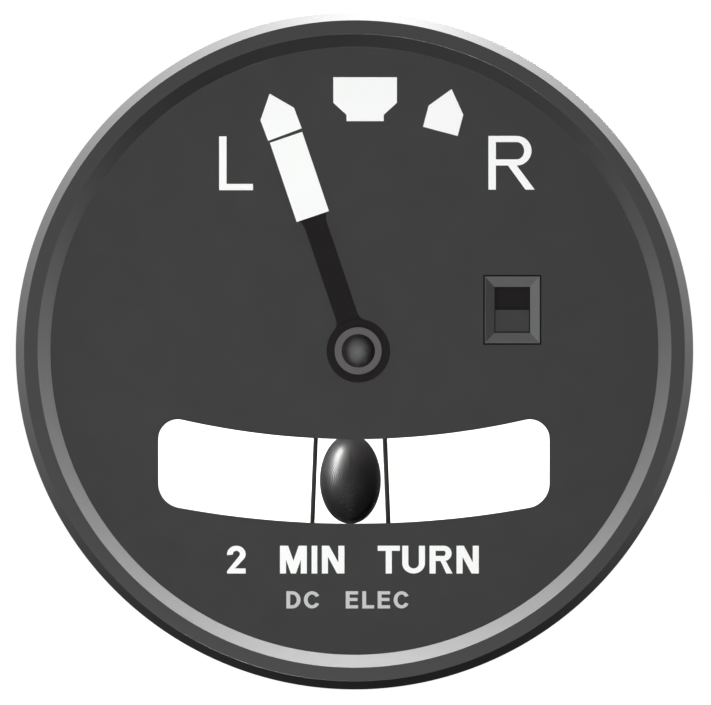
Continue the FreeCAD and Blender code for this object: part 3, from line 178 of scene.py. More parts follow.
# Marks on the dial, in millimetres
HOUSE_WIDTH = 4.20
HOUSE_WALL = 2.58
HOUSE_HEIGHT = 5.13
HOUSES = ((-18.75, 26.75, -20.5), (20.5, 27.45, 14.9))
INDEX_X = 1.25
INDEX_TOP = 32.06
INDEX_STEPS = ((3.725, 0.0), (3.725, 3.0), (2.18, 4.41), (2.18, 5.15))
PAINT = 0.06
PAINT_EDGE = 0.02

# Words on the dial: name, low and high, stem and bar, then each letter with its left and right
WORDS = (("letter_left", "mark_paint", (18.82, 25.13), (0.87, 0.74), (("L", -15.86, -11.89),)),
         ("letter_right", "mark_paint", (18.88, 25.18), (0.87, 0.72), (("R", 15.70, 21.13),)),
         ("word_two", "mark_paint", (-26.10, -22.84), (0.68, 0.60), (("2", -14.93, -12.75),)),
         ("word_minute", "mark_paint", (-26.10, -22.84), (0.71, 0.60),
          (("M", -8.73, -5.58), ("I", -5.02, -4.36), ("N", -3.82, -1.18))),
         ("word_turn", "mark_paint", (-26.10, -22.84), (0.71, 0.60),
          (("T", 2.72, 5.32), ("U", 5.60, 8.26), ("B", 8.80, 11.49), ("N", 11.96, 14.57))),
         ("word_direct", "mark_grey", (-30.19, -28.17), (0.45, 0.38),
          (("D", -7.98, -6.32), ("C", -5.93, -4.13))),
         ("word_electric", "mark_grey", (-30.19, -28.17), (0.45, 0.38),
          (("E", -1.02, 0.43), ("L", 0.92, 2.30), ("E", 2.72, 4.17), ("C", 4.59, 6.35))))
LETTER_EDGE = 0.01
LETTER_STEPS = 24

# Inclinometer, in millimetres
WINDOW_X = -0.07
WINDOW_HALF_WIDTH = 22.92
WINDOW_TOP_Z = -10.37
WINDOW_TOP_RADIUS = 90.33
WINDOW_TOP_CORNER = 2.30
WINDOW_BOTTOM_Z = -20.25
WINDOW_BOTTOM_RADIUS = 113.96
WINDOW_BOTTOM_CORNER = 2.90
TUBE_X = -0.49
TUBE_Y = 2.0
TUBE_RADIUS = 5.50
CURVE_RADIUS = 105.0
CURVE_Z = 90.09
TUBE_HALF_ANGLE = 14.0
BACKING_INNER = 5.53
BACKING_OUTER = 5.80
BALL_RADIUS = 3.59
BALL_GLOSS = ((0.42, 0.014), (0.30, 0.010))
BALL_SPREAD = 1.06
BALL_CLOUD = 0.60
WIRE_RADIUS = 0.27
WIRE_PLACES = (-4.72, 3.75)

# Flag window, in millimetres
FLAG_X = 18.50
FLAG_Z = 4.80
FLAG_WIDTH = 6.42
FLAG_HEIGHT = 7.80
FLAG_GAP = 0.19
# The grey panel stops short of the window's opening; the black vane that shows round it is painted shade for
# the frame's shadow line
PANEL_LEFT = 16.52
PANEL_RIGHT = 20.47
PANEL_BOTTOM = 2.26
PANEL_TOP = 4.80
SCREEN_THICKNESS = 0.40
SCREEN_EDGE = 0.60
# Depth of the black strip in the flag frame's gap below the dial's face; the strip is painted shade
GAP_SHADE_SINK = 0.12

# Studio, in millimetres: brightness of the sky by its elevation and by its depth, and the camera's frame
SKY = ((-90, 0.008), (-60, 0.02), (-45, 0.08), (-30, 0.26), (-15, 0.49), (0, 0.76), (15, 1.12), (30, 1.55),
       (45, 2.25), (60, 2.95), (75, 3.80), (90, 4.40))
SKY_DEPTH = ((-1.0, 0.42), (-0.62, 0.5), (-0.45, 2.4), (-0.14, 3.2), (0.0, 1.15), (0.15, 0.6), (1.0, 0.6))
SKY_SHARE = 0.62
PLAIN_SKY = 0.15
# Lamps: name, place, size, power, and whether reflections and matt surfaces see it and it throws shadows
LAMPS = (("front_fill", (-520.0, -980.0, -100.0), 300.0, 12.8, False, True, False),
         ("top_fill", (60.0, 380.0, 700.0), 500.0, 9.0, True, True, True),
         ("rear_fill", (260.0, 900.0, 420.0), 300.0, 7.0, True, True, True),
         ("key_box", (-60.0, -260.0, -190.0), 60.0, 0.25, True, False, True))
GLINT_WAY = (-0.41, 0.30, 0.865)
GLINT_DISTANCE = 600.0
GLINT_SIZE = 60.0
GLINT_POWER = 15.0
FLOOR_SIZE = 1400.0
FLOOR_CLEAR = (75.0, 105.0)
FLOOR_MIDDLE = 50.0
FLOOR_GAP = 3.4
FLOOR_MOTTLE = 40.0
LENS = 1500.0
FRAME_WIDTH = 83.10
AIM_X = 0.12
AIM_Z = -0.20
CLIP_START = 1.0

# Mesh fineness
BEZEL_STEPS = 384
TURN_STEPS = 256
SMALL_TURN_STEPS = 96
SCREW_STEPS = 48
THREAD_TURN_STEPS = 144
ARC_STEPS = 6
CORNER_STEPS = 16
WINDOW_STEPS = 64
TUBE_STEPS = 97
BACKING_STEPS = 49
WIRE_SIDES = 16
DOME_STEPS = 24
SHARP_ANGLE = 35.0
FLAT_FACING = 0.999


# Colour and node helpers
def colour(code):
    """Linear RGBA of an sRGB hex colour."""
    value = np.array([int(code[k:k + 2], 16) for k in (1, 3, 5)]) / 255
    line = np.where(value <= 0.04045, value / 12.92, ((value + 0.055) / 1.055) ** 2.4)
    return (*line.tolist(), 1.0)


def add(tree, kind, inputs=None, out=0, **settings):
    """Adds a node and returns one of its outputs; an input given as a socket is linked, all else is set."""
    node = tree.nodes.new("ShaderNode" + kind)
    for name, value in settings.items():
        setattr(node, name, value)
    for name, value in (inputs or {}).items():
        if isinstance(value, bpy.types.NodeSocket):
            tree.links.new(value, node.inputs[name])
        else:
            node.inputs[name].default_value = value
    return node.outputs[out] if node.outputs else None


def mixed(tree, share, first, second):
    """The first shader, or the second by its share."""
    return add(tree, "MixShader", {0: share, 1: first, 2: second})


def seen_by(tree, ray):
    """1 for the named kind of ray, else 0."""
    return add(tree, "LightPath", out="Is %s Ray" % ray)


def new_material(name):
    material = bpy.data.materials.new(name)
    material.use_nodes = True
    material.node_tree.nodes.clear()
    return material, material.node_tree


def object_place(tree, scale=(1.0, 1.0, 1.0)):
    """Object coordinates in millimetres, stretched per axis by a scale."""
    place = add(tree, "TexCoord", out="Object")
    return add(tree, "Mapping", {"Vector": place, "Scale": tuple(axis / MM for axis in scale)})


def noise(tree, place, size, detail=3.0):
    """Noise whose lumps are about size millimetres across."""
    return add(tree, "TexNoise", {"Vector": place, "Scale": 1.0 / size, "Detail": detail})


def spread(tree, value, low, high):
    """Maps a value from 0..1 to low..high."""
    return add(tree, "MapRange", {"Value": value, "To Min": low, "To Max": high})


def share_of(tree, value, low, high, **settings):
    """Maps a value from low..high to 0..1."""
    return add(tree, "MapRange", {"Value": value, "From Min": low, "From Max": high}, **settings)


def tint(tree, value, first, second):
    """Colour between two hex colours."""
    return add(tree, "Mix", {0: value, 6: colour(first), 7: colour(second)}, 2, data_type="RGBA")


def bump(tree, height, depth):
    """Bump from a 0..1 height, depth in millimetres."""
    return add(tree, "Bump", {"Height": height, "Distance": depth * MM})


def away_from(tree, place, centre, keep):
    """Distance of a place from a centre, along the kept axes only."""
    across = add(tree, "VectorMath", {0: place, 1: centre}, operation="SUBTRACT")
    flat = add(tree, "VectorMath", {0: across, 1: keep}, operation="MULTIPLY")
    return add(tree, "VectorMath", {0: flat}, "Value", operation="LENGTH")


def finish_surface(tree, inputs):
    add(tree, "OutputMaterial", {"Surface": add(tree, "BsdfPrincipled", inputs)})


def coated_finish(name, light, dark, roughness, grain, depth, specular=0.5, **extra):
    """Paint, plastic or rubber with a fine grain: colour, roughness and bump all follow it."""
    material, tree = new_material(name)
    place = object_place(tree)
    fine = noise(tree, place, grain)
    broad = noise(tree, place, 30 * grain, detail=2.0)
    inputs = {"Base Color": tint(tree, broad, dark, light),
              "Roughness": spread(tree, fine, roughness - 0.04, roughness + 0.04),
              "Normal": bump(tree, fine, depth), "Specular IOR Level": specular}
    inputs.update({key.replace("_", " "): value for key, value in extra.items()})
    finish_surface(tree, inputs)
    return material


def metal_finish(name, light, dark, roughness, stretch=(1.0, 1.0, 1.0)):
    """Bare or plated metal with drawn or turned lines along the unstretched axis."""
    material, tree = new_material(name)
    lines = noise(tree, object_place(tree, stretch), METAL_GRAIN, detail=4.0)
    cloud = noise(tree, object_place(tree), METAL_CLOUD)
    finish_surface(tree, {"Base Color": tint(tree, cloud, dark, light), "Metallic": 1.0,
                          "Roughness": spread(tree, lines, roughness - 0.07, roughness + 0.07),
                          "Normal": bump(tree, lines, METAL_DEPTH)})
    return material


# Surface helpers
def rounded(corners, radius, closed=True):
    """Profile with each corner replaced by an arc tangent to its two sides.

    Returns points and outward normals. The profile runs so that outside is on its left, and an
    arc's end points carry the normals of the flat sides, so flats stay flat when shaded.
    """
    corners = np.array(corners, float)
    count = len(corners)
    radii = np.broadcast_to(radius, count)
    points, normals = [], []
    for k in range(count):
        here = corners[k]
        if not closed and k in (0, count - 1):
            other = corners[1] if k == 0 else corners[-2]
            way = (other - here) if k == 0 else (here - other)
            way = way / np.linalg.norm(way)
            points.append(here)
            normals.append(np.array([-way[1], way[0]]))
            continue
        back = here - corners[k - 1]
        ahead = corners[(k + 1) % count] - here
        back_way, ahead_way = back / np.linalg.norm(back), ahead / np.linalg.norm(ahead)
        turn = math.atan2(back_way[0] * ahead_way[1] - back_way[1] * ahead_way[0], back_way @ ahead_way)
        reach = abs(radii[k] * math.tan(turn / 2))
        start = here - back_way * reach
        normal = np.array([-back_way[1], back_way[0]])
        side = 1.0 if turn < 0 else -1.0
        centre = start - side * normal * radii[k]
        steps = max(2, int(ARC_STEPS * abs(turn) / (math.pi / 2)) + 1)
        angles = turn * np.linspace(0.0, 1.0, steps + 1)
        cosines, sines = np.cos(angles), np.sin(angles)
        spun = np.stack([normal[0] * cosines - normal[1] * sines, normal[0] * sines + normal[1] * cosines], 1)
        points.extend(centre + side * spun * radii[k])
        normals.extend(spun)
    return np.array(points), np.array(normals)


def outside_left(corners):
    """The corners in the order that keeps the material on the right of the run."""
    corners = np.array(corners, float)
    ahead = np.roll(corners, -1, axis=0)
    area = np.sum(corners[:, 0] * ahead[:, 1] - ahead[:, 0] * corners[:, 1]) / 2
    return corners[::-1] if area > 0 else corners


def arc(centre, radius, start, end, steps=CORNER_STEPS, up=None):
    """Points of an arc about (x, z) between two clock angles in degrees, of an ellipse where up is given."""
    angle = np.radians(np.linspace(start, end, steps + 1))
    up = radius if up is None else up
    return np.stack([centre[0] + radius * np.sin(angle), centre[1] + up * np.cos(angle)], 1)


def grid_faces(rows, columns, wrap_rows, wrap_columns):
    """Quads of a rows by columns grid of points, joined end to start where it wraps."""
    row = np.arange(rows if wrap_rows else rows - 1)
    column = np.arange(columns if wrap_columns else columns - 1)
    row, column = np.meshgrid(row, column, indexing="ij")
    next_row, next_column = (row + 1) % rows, (column + 1) % columns
    corners = [row * columns + column, row * columns + next_column,
               next_row * columns + next_column, next_row * columns + column]
    return np.stack(corners, -1).reshape(-1, 4)


def close_mesh(mesh, join=1e-7):
    """Merges the doubles of a closed mesh and points its faces outwards."""
    form = bmesh.new()
    form.from_mesh(mesh)
    bmesh.ops.remove_doubles(form, verts=form.verts, dist=join)
    bmesh.ops.recalc_face_normals(form, faces=form.faces)
    form.to_mesh(mesh)
    form.free()


def show(name, data):
    """Object of the data, put in the scene."""
    piece = bpy.data.objects.new(name, data)
    bpy.context.scene.collection.objects.link(piece)
    return piece


def place_piece(name, mesh, slot, node=None, body="instrument", finish=None):
    """Piece of a mesh that rides on a body and wears its slot's finish; given a node, it stands for it."""
    mesh.materials.clear()
    mesh.materials.append(finish or FINISHES[slot])
    piece = show(name, mesh)
    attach(piece, body)
    if node:
        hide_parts(node)
    return piece


def close_smooth(piece):
    """Closes a piece's mesh and shades it smooth between its sharp edges."""
    close_mesh(piece.data)
    piece.data.set_sharp_from_angle(angle=math.radians(SHARP_ANGLE))


def make_piece(name, points, faces, slot, node=None, body="instrument", normals=None):
    """Writes points in millimetres and faces as one smooth mesh piece."""
    mesh = bpy.data.meshes.new(name)
    faces = faces.tolist() if isinstance(faces, np.ndarray) else faces
    mesh.from_pydata((np.asarray(points) * MM).tolist(), [], faces)
    mesh.polygons.foreach_set("use_smooth", np.ones(len(mesh.polygons), bool))
    if normals is not None:
        mesh.normals_split_custom_set_from_vertices(np.asarray(normals).tolist())
    return place_piece(name, mesh, slot, node, body)


def turned_points(profile, profile_normals, centre, steps):
    """Points of a profile of (radius, y) carried round an axis along Y through centre (x, z).

    A point at clock angle a is (x + r sin a, y, z + r cos a), and its normal turns with it.
    """
    angle = np.linspace(0.0, 2 * math.pi, steps, endpoint=False)
    sine, cosine = np.sin(angle)[:, None], np.cos(angle)[:, None]
    radius, y = profile[:, 0], profile[:, 1]
    flat = np.ones_like(sine)
    points = np.stack([centre[0] + radius * sine, y * flat, centre[1] + radius * cosine], -1)
    along, across = profile_normals[:, 0], profile_normals[:, 1]
    normals = np.stack([along * sine, across * flat, along * cosine], -1)
    return points.reshape(-1, 3), normals.reshape(-1, 3)


def turned_piece(name, corners, slot, node=None, body="instrument", centre=(0.0, 0.0), radius=EDGE_BREAK,
                 steps=TURN_STEPS, keep_normals=True):
    """Piece turned from (radius, y) corners: a ring, or a solid where both ends lie on the axis.

    A ring's profile is closed. A solid's is open, and each of its ends becomes one pole.
    """
    solid = corners[0][0] == 0 and corners[-1][0] == 0
    profile, profile_normals = rounded(outside_left(corners), radius, closed=not solid)
    inside = slice(1, -1) if solid else slice(None)
    points, normals = turned_points(profile[inside], profile_normals[inside], centre, steps)
    columns = len(profile[inside])
    faces = grid_faces(steps, columns, True, not solid).tolist()
    if solid:
        start, end = len(points), len(points) + 1
        for k in range(steps):
            ahead = (k + 1) % steps
            faces.append((start, k * columns, ahead * columns))
            faces.append((end, ahead * columns + columns - 1, k * columns + columns - 1))
        points = np.concatenate([points, [(centre[0], profile[k][1], centre[1]) for k in (0, -1)]])
        normals = np.concatenate([normals, [(0.0, profile_normals[k][1], 0.0) for k in (0, -1)]])
    return make_piece(name, points, faces, slot, node, body, normals if keep_normals else None)


def plain_ring(name, slot, node, wall, radius):
    """Ring with a wall thickness that fills the box of its node."""
    low, high = node_box(node)
    inner, outer = high[0] - wall, high[0]
    corners = [(inner, low[1]), (outer, low[1]), (outer, high[1]), (inner, high[1])]
    turned_piece(name, corners, slot, node, radius=radius)


def plain_disc(name, slot, node, centre=(0.0, 0.0), steps=TURN_STEPS):
    """Disc that fills the box of its node."""
    low, high = node_box(node)
    corners = [(0, low[1]), (high[0], low[1]), (high[0], high[1]), (0, high[1])]
    turned_piece(name, corners, slot, node, centre=centre, radius=DISC_EDGE, steps=steps)


def turned_outline(outline, angle, centre):
    """Outline turned clockwise by an angle about a point (x, z)."""
    cosine, sine = math.cos(math.radians(angle)), math.sin(math.radians(angle))
    across, up = outline[:, 0] - centre[0], outline[:, 1] - centre[1]
    return np.stack([centre[0] + across * cosine + up * sine, centre[1] + up * cosine - across * sine], 1)


def flat_piece(name, outlines, y_front, y_rear, slot, node=None, body="instrument", edge=0.03, turn=None,
               finish=None):
    """Flat piece cut from outlines in (x, z) millimetres, with its edges broken.

    The first outline is the outside and the rest are holes. The outlines fill a plane curve,
    which is thickened, stood up so that its face looks along -Y, and turned by (angle, x, z).
    """
    data = bpy.data.curves.new(name, "CURVE")
    data.dimensions = "2D"
    data.fill_mode = "BOTH"
    data.extrude = (y_rear - y_front) / 2 - edge
    data.bevel_depth = edge
    data.bevel_resolution = 2
    data.offset = -edge
    for outline in outlines:
        spline = data.splines.new("POLY")
        spline.points.add(len(outline) - 1)
        flat = np.concatenate([outline, np.zeros((len(outline), 1)), np.ones((len(outline), 1))], 1)
        spline.points.foreach_set("co", flat.ravel())
        spline.use_cyclic_u = True
    source = show(name + "_outline", data)
    depsgraph = bpy.context.evaluated_depsgraph_get()
    mesh = bpy.data.meshes.new_from_object(source.evaluated_get(depsgraph))
    bpy.data.objects.remove(source)
    mesh.transform(Matrix.Rotation(math.pi / 2, 4, "X"))
    points = np.empty(len(mesh.vertices) * 3)
    mesh.vertices.foreach_get("co", points)
    points = points.reshape(-1, 3)
    points[:, 1] += (y_front + y_rear) / 2
    if turn is not None:
        points[:, [0, 2]] = turned_outline(points[:, [0, 2]], turn[0], turn[1:])
    mesh.vertices.foreach_set("co", (points * MM).ravel())
    close_mesh(mesh)
    mesh.name = name
    mesh.set_sharp_from_angle(angle=math.radians(SHARP_ANGLE))
    facing = np.empty(len(mesh.polygons) * 3)
    mesh.polygons.foreach_get("normal", facing)
    mesh.polygons.foreach_set("use_smooth", np.abs(facing.reshape(-1, 3)[:, 1]) < FLAT_FACING)
    return place_piece(name, mesh, slot, node, body, finish)


def circle_outline(radius, centre=(0.0, 0.0), steps=TURN_STEPS):
    return arc(centre, radius, 0, 360, steps)[:-1]


# Coated finishes: slot, name, light and dark colour, roughness, size and depth of the grain, specular level
COATS = (
    ("dial_paint", "dark_grey_dial_lacquer", "#424242", "#3d3d3d", 0.75, 0.10, 0.003, 0.08),
    ("mark_paint", "white_marking_paint", "#ffffff", "#fafafa", 0.60, 0.12, 0.002, 0.3),
    ("mark_grey", "grey_marking_paint", "#cbcbcb", "#c5c5c5", 0.60, 0.12, 0.002, 0.3),
    ("pointer_white", "white_marking_paint", "#ffffff", "#fafafa", 0.60, 0.12, 0.002, 0.3),
    ("pointer_black", "flat_black_pointer_lacquer", "#1e1b1c", "#1b1819", 0.55, 0.10, 0.002, 0.2),
    ("collar_grey", "grey_anodised_collar", "#625e60", "#5d595b", 0.50, 0.08, 0.002, 0.3),
    ("frame_grey", "grey_window_enamel", "#6a6a6b", "#666667", 0.50, 0.10, 0.002, 0.25),
    ("white_backing", "white_backing_enamel", "#ffffff", "#fbfbfb", 0.55, 0.3, 0.002),
    ("wire_black", "dark_wire_lacquer", "#3a3a3a", "#363636", 0.9, 0.2, 0.001, 0.0),
    ("gasket_rubber", "black_neoprene", "#141414", "#101010", 0.80, 0.15, 0.006, 0.2),
    ("vane_grey", "dull_grey_vane_paint", "#424242", "#3e3e3e", 0.75, 0.10, 0.003, 0.08),
    ("insulator", "green_moulded_insert", "#27352c", "#212d25", 0.5, 0.3, 0.004),
    ("holder_plastic", "brown_phenolic", "#5a3220", "#4a2819", 0.45, 0.3, 0.006),
    ("carbon", "pressed_carbon", "#2c2c2e", "#222224", 0.55, 0.1, 0.008),
    ("ferrite", "sintered_ferrite", "#3a3b3e", "#303134", 0.5, 0.15, 0.006))

# Metals: slot, name, light and dark colour, roughness, and the stretch of the turned or drawn lines
METALS = (
    ("plated_steel", "zinc_plated_steel", "#c9c9c4", "#b4b3ab", 0.32),
    ("pin_gold", "gold_plating", "#f0c66a", "#e6b856", 0.22),
    ("brass", "turned_brass", "#d6b46c", "#c09a52", 0.28),
    ("rotor_alloy", "turned_brass", "#d6b46c", "#c09a52", 0.28),
    ("bronze", "sintered_bronze", "#b88a52", "#a0733f", 0.42),
    ("aluminium", "machined_aluminium", "#cfd0d2", "#bfc1c4", 0.36, (1.0, 1.0, 0.08)),
    ("olive_plating", "olive_cadmium_plating", "#7d7550", "#655f3f", 0.42),
    ("soft_iron", "annealed_soft_iron", "#8e8e90", "#7c7c7f", 0.45))
METAL_GRAIN = 0.12
METAL_CLOUD = 6.0
METAL_DEPTH = 0.004
WRINKLE = 0.62
WRINKLE_BEND = 1.6
WRINKLE_DEPTH = 0.10
WINDING_BANDS = 1.6
WINDING_DEPTH = 0.05
TUBE_IOR = 1.47
PANE_IOR = 1.12


def bezel_enamel():
    """Satin black baking enamel on turned aluminium: a deep coat that mirrors light softly."""
    return coated_finish("black_satin_enamel", "#232122", "#1d1b1c", 0.34, 0.25, 0.0015,
                         IOR=2.0, Coat_Weight=1.0, Coat_IOR=2.0, Coat_Roughness=0.30)


def case_enamel():
    """Black wrinkle enamel: small rounded ridges that break up every reflection."""
    material, tree = new_material("black_wrinkle_enamel")
    place = object_place(tree)
    bent = noise(tree, place, WRINKLE_BEND, detail=2.0)
    shifted = add(tree, "VectorMath", {0: place, 1: bent}, operation="ADD")
    cells = add(tree, "TexVoronoi", {"Vector": shifted, "Scale": 1.0 / WRINKLE, "Smoothness": 0.8},
                feature="SMOOTH_F1")
    cloud = noise(tree, place, 12.0)
    finish_surface(tree, {"Base Color": tint(tree, cloud, "#1b1b1c", "#242425"), "IOR": 1.5,
                          "Roughness": spread(tree, cells, 0.34, 0.55),
                          "Normal": bump(tree, cells, WRINKLE_DEPTH)})
    return material


def cap_lacquer_painted_highlight():
    """Black lacquered cap with a painted highlight: its crown is grey where a frontal lamp's soft glint would
    fall. The grey fades out with the distance from the axis, broken up a little by a cloud.
    """
    material, tree = new_material("painted_highlight_black_cap")
    place = object_place(tree)
    away = away_from(tree, place, (POINTER_X, 0.0, 0.0), (1.0, 0.0, 1.0))
    cloud = spread(tree, noise(tree, place, CAP_CLOUD_SIZE, detail=2.0), -CAP_CLOUD, CAP_CLOUD)
    bent = add(tree, "Math", {0: away, 1: cloud}, operation="ADD")
    painted_highlight_share = share_of(tree, bent, 0.0, CAP_RADIUS, interpolation_type="SMOOTHSTEP")
    fine = noise(tree, place, CAP_GRAIN)
    # Painted highlight: grey on the crown, black towards the rim
    finish_surface(tree, {"Base Color": tint(tree, painted_highlight_share, "#6a6b6b", "#242122"),
                          "Normal": bump(tree, fine, CAP_GRAIN_DEPTH),
                          "Roughness": spread(tree, fine, 0.31, 0.39), "Specular IOR Level": 0.3})
    return material


def clear_pane():
    """Anti-reflection coated cover glass: clear, with a faint skin of reflection."""
    material, tree = new_material("coated_cover_glass")
    fresnel = add(tree, "Fresnel", {"IOR": PANE_IOR})
    clear = add(tree, "BsdfTransparent", {"Color": (0.985, 0.99, 0.985, 1.0)})
    shine = add(tree, "BsdfGlossy", {"Roughness": 0.03})
    add(tree, "OutputMaterial", {"Surface": mixed(tree, fresnel, clear, shine)})
    return material


def tube_glass():
    """Glass tube full of clear fluid, which bends light as one solid rod."""
    material, tree = new_material("fluid_filled_glass")
    inputs = {"Color": (0.99, 1.0, 0.99, 1.0), "Roughness": 0.0, "IOR": TUBE_IOR}
    glass = add(tree, "BsdfRefraction", inputs)
    clear = add(tree, "BsdfTransparent")
    add(tree, "OutputMaterial", {"Surface": mixed(tree, seen_by(tree, "Shadow"), glass, clear)})
    return material


def ball_lacquer():
    """Black ball under fluid: a dark matt body with even shares of two broad glosses."""
    material, tree = new_material("black_glass_ball")
    cloud = noise(tree, object_place(tree), BALL_CLOUD)
    shader = add(tree, "BsdfDiffuse", {"Color": tint(tree, cloud, "#171516", "#1b191a")})
    for roughness, share in BALL_GLOSS:
        rough = spread(tree, cloud, roughness, BALL_SPREAD * roughness)
        gloss = add(tree, "BsdfGlossy", {"Color": (1.0, 1.0, 1.0, 1.0), "Roughness": rough})
        shader = mixed(tree, share, shader, gloss)
    add(tree, "OutputMaterial", {"Surface": shader})
    return material


def winding_copper():
    """Enamelled copper wire, wound in turns that show as fine bands along the coil. The colour darkens where
    the bands sink between turns, a painted shade in the grooves.
    """
    material, tree = new_material("enamelled_copper_winding")
    inputs = {"Vector": object_place(tree), "Scale": WINDING_BANDS, "Distortion": 0.4}
    bands = add(tree, "TexWave", inputs, "Fac", bands_direction="Y")
    # Darker copper at the low part of each band: painted shade between turns
    finish_surface(tree, {"Base Color": tint(tree, bands, "#8a4426", "#c4743f"), "Metallic": 1.0,
                          "Roughness": 0.38, "Normal": bump(tree, bands, WINDING_DEPTH)})
    return material


FINISHES = {slot: coated_finish(*row) for slot, *row in COATS}
FINISHES.update({slot: metal_finish(*row) for slot, *row in METALS})
FINISHES.update({"bezel_enamel": bezel_enamel(), "case_enamel": case_enamel(), "cap_black": cap_lacquer_painted_highlight(),
                 "cover_glass": clear_pane(), "tube_glass": tube_glass(), "ball_black": ball_lacquer(),
                 "copper_winding": winding_copper()})
SLOTS = {row["node"]: row["material_slot"] for row in frame["record"]["subparts"]}


def finish_cad_nodes():
    """Gives every carried-over node the finish of its slot; the vane is black under its grey panel, so the
    thin black rim left round the panel is a painted shadow line of the window frame.
    """
    for name, slot in SLOTS.items():
        node = frame["nodes"][name]
        node.data.materials.clear()
        node.data.materials.append(FINISHES["pointer_black" if name == "flag_vane" else slot])


# Bezel, glass and dial
def bezel():
    flat_outer = BEZEL_RADIUS - OUTER_CHAMFER
    flat_inner = flat_outer - FLAT_BAND
    front, rear = BEZEL_LOW[1], BEZEL_HIGH[1]
    land = front + INNER_CHAMFER + BEZEL_LAND
    bore = BEZEL_RADIUS - BEZEL_WALL
    corners = [(OPENING_RADIUS, land), (OPENING_RADIUS, front + INNER_CHAMFER), (flat_inner, front),
               (flat_outer, front), (BEZEL_RADIUS, front + OUTER_CHAMFER),
               (BEZEL_RADIUS, rear - BEZEL_REAR_CHAMFER), (BEZEL_RADIUS - BEZEL_REAR_CHAMFER, rear),
               (bore, rear), (bore, land)]
    turned_piece("bezel_ring_turned", corners, "bezel_enamel", "bezel_ring", radius=FINE_EDGE,
                 steps=BEZEL_STEPS)


def window_outline():
    """Window between two arcs, with straight sides and a tangent arc in each corner.

    The centre of a corner lies one corner radius inside the side. It is the arc's radius plus the
    corner radius from the top arc's centre, and the arc's radius less the corner radius from the
    bottom arc's centre.
    """
    top = (WINDOW_X, WINDOW_TOP_Z + WINDOW_TOP_RADIUS)
    low = (WINDOW_X, WINDOW_BOTTOM_Z + WINDOW_BOTTOM_RADIUS)
    top_half = WINDOW_HALF_WIDTH - WINDOW_TOP_CORNER
    top_reach = WINDOW_TOP_RADIUS + WINDOW_TOP_CORNER
    low_half = WINDOW_HALF_WIDTH - WINDOW_BOTTOM_CORNER
    low_reach = WINDOW_BOTTOM_RADIUS - WINDOW_BOTTOM_CORNER
    top_turn = math.degrees(math.asin(top_half / top_reach))
    low_turn = math.degrees(math.asin(low_half / low_reach))
    top_z = top[1] - math.sqrt(top_reach ** 2 - top_half ** 2)
    low_z = low[1] - math.sqrt(low_reach ** 2 - low_half ** 2)
    return np.concatenate([
        arc(top, WINDOW_TOP_RADIUS, 180 + top_turn, 180 - top_turn, WINDOW_STEPS),
        arc((WINDOW_X + top_half, top_z), WINDOW_TOP_CORNER, -top_turn, 90)[1:],
        arc((WINDOW_X + low_half, low_z), WINDOW_BOTTOM_CORNER, 90, 180 - low_turn),
        arc(low, WINDOW_BOTTOM_RADIUS, 180 - low_turn, 180 + low_turn, WINDOW_STEPS)[1:],
        arc((WINDOW_X - low_half, low_z), WINDOW_BOTTOM_CORNER, 180 + low_turn, 270)[1:],
        arc((WINDOW_X - top_half, top_z), WINDOW_TOP_CORNER, 270, 360 + top_turn)[:-1]])


def box_outline(left, right, low, high):
    return np.array([(left, low), (left, high), (right, high), (right, low)])


def flag_hole(gap):
    """Outline of the flag window's frame, wider by a gap all round."""
    half_width, half_height = FLAG_WIDTH / 2 + gap, FLAG_HEIGHT / 2 + gap
    return box_outline(FLAG_X - half_width, FLAG_X + half_width, FLAG_Z - half_height, FLAG_Z + half_height)


def dial():
    outlines = [circle_outline(DIAL_HIGH[0]), window_outline(), flag_hole(FLAG_GAP),
                circle_outline(STAFF_HOLE, (POINTER_X, 0.0), SMALL_TURN_STEPS)]
    flat_piece("dial_face", outlines, DIAL_LOW[1], DIAL_HIGH[1], "dial_paint", "dial_plate")


def house_outline(angle, radius, tilt):
    """House-shaped mark whose foot is at a clock angle and radius about the pointer's axis."""
    x = POINTER_X + radius * math.sin(math.radians(angle))
    z = radius * math.cos(math.radians(angle))
    half = HOUSE_WIDTH / 2
    outline = np.array([(x - half, z), (x - half, z + HOUSE_WALL), (x, z + HOUSE_HEIGHT),
                        (x + half, z + HOUSE_WALL), (x + half, z)])
    return turned_outline(outline, tilt, (x, z))


def index_outline():
    """Block with two shoulders that narrows to a stem, alike on both sides of its middle."""
    right = np.array([(INDEX_X + across, INDEX_TOP - down) for across, down in INDEX_STEPS])
    left = right[::-1] * (-1, 1) + (2 * INDEX_X, 0)
    return np.concatenate([right, left])


def dial_marks():
    front = node_box("dial_index_marks")[0][1]
    outlines = [house_outline(*house) for house in HOUSES] + [index_outline()]
    for k, outline in enumerate(outlines):
        flat_piece("dial_mark_%d" % k, [outline], front, DIAL_FRONT, "mark_paint",
                   None if k else "dial_index_marks", edge=PAINT_EDGE)


# Plain sans letters, w wide and h high, of stem s and bar b, drawn from their lower left corner
def oval(centre, across, up, start, end):
    """Arc of an ellipse with the given half width and half height."""
    return arc(centre, across, start, end, LETTER_STEPS, up)


def letter_i(w, h, s, b):
    return [box_outline(0, w, 0, h)]


def letter_l(w, h, s, b):
    return [np.array([(0, 0), (0, h), (s, h), (s, b), (w, b), (w, 0)])]


def letter_t(w, h, s, b):
    left, right = (w - s) / 2, (w + s) / 2
    return [np.array([(left, 0), (left, h - b), (0, h - b), (0, h), (w, h), (w, h - b), (right, h - b),
                      (right, 0)])]


def letter_e(w, h, s, b):
    middle, reach = 0.52 * h, 0.95 * w
    upper, lower = middle + b / 2, middle - b / 2
    return [np.array([(0, 0), (0, h), (w, h), (w, h - b), (s, h - b), (s, upper), (reach, upper),
                      (reach, lower), (s, lower), (s, b), (w, b), (w, 0)])]


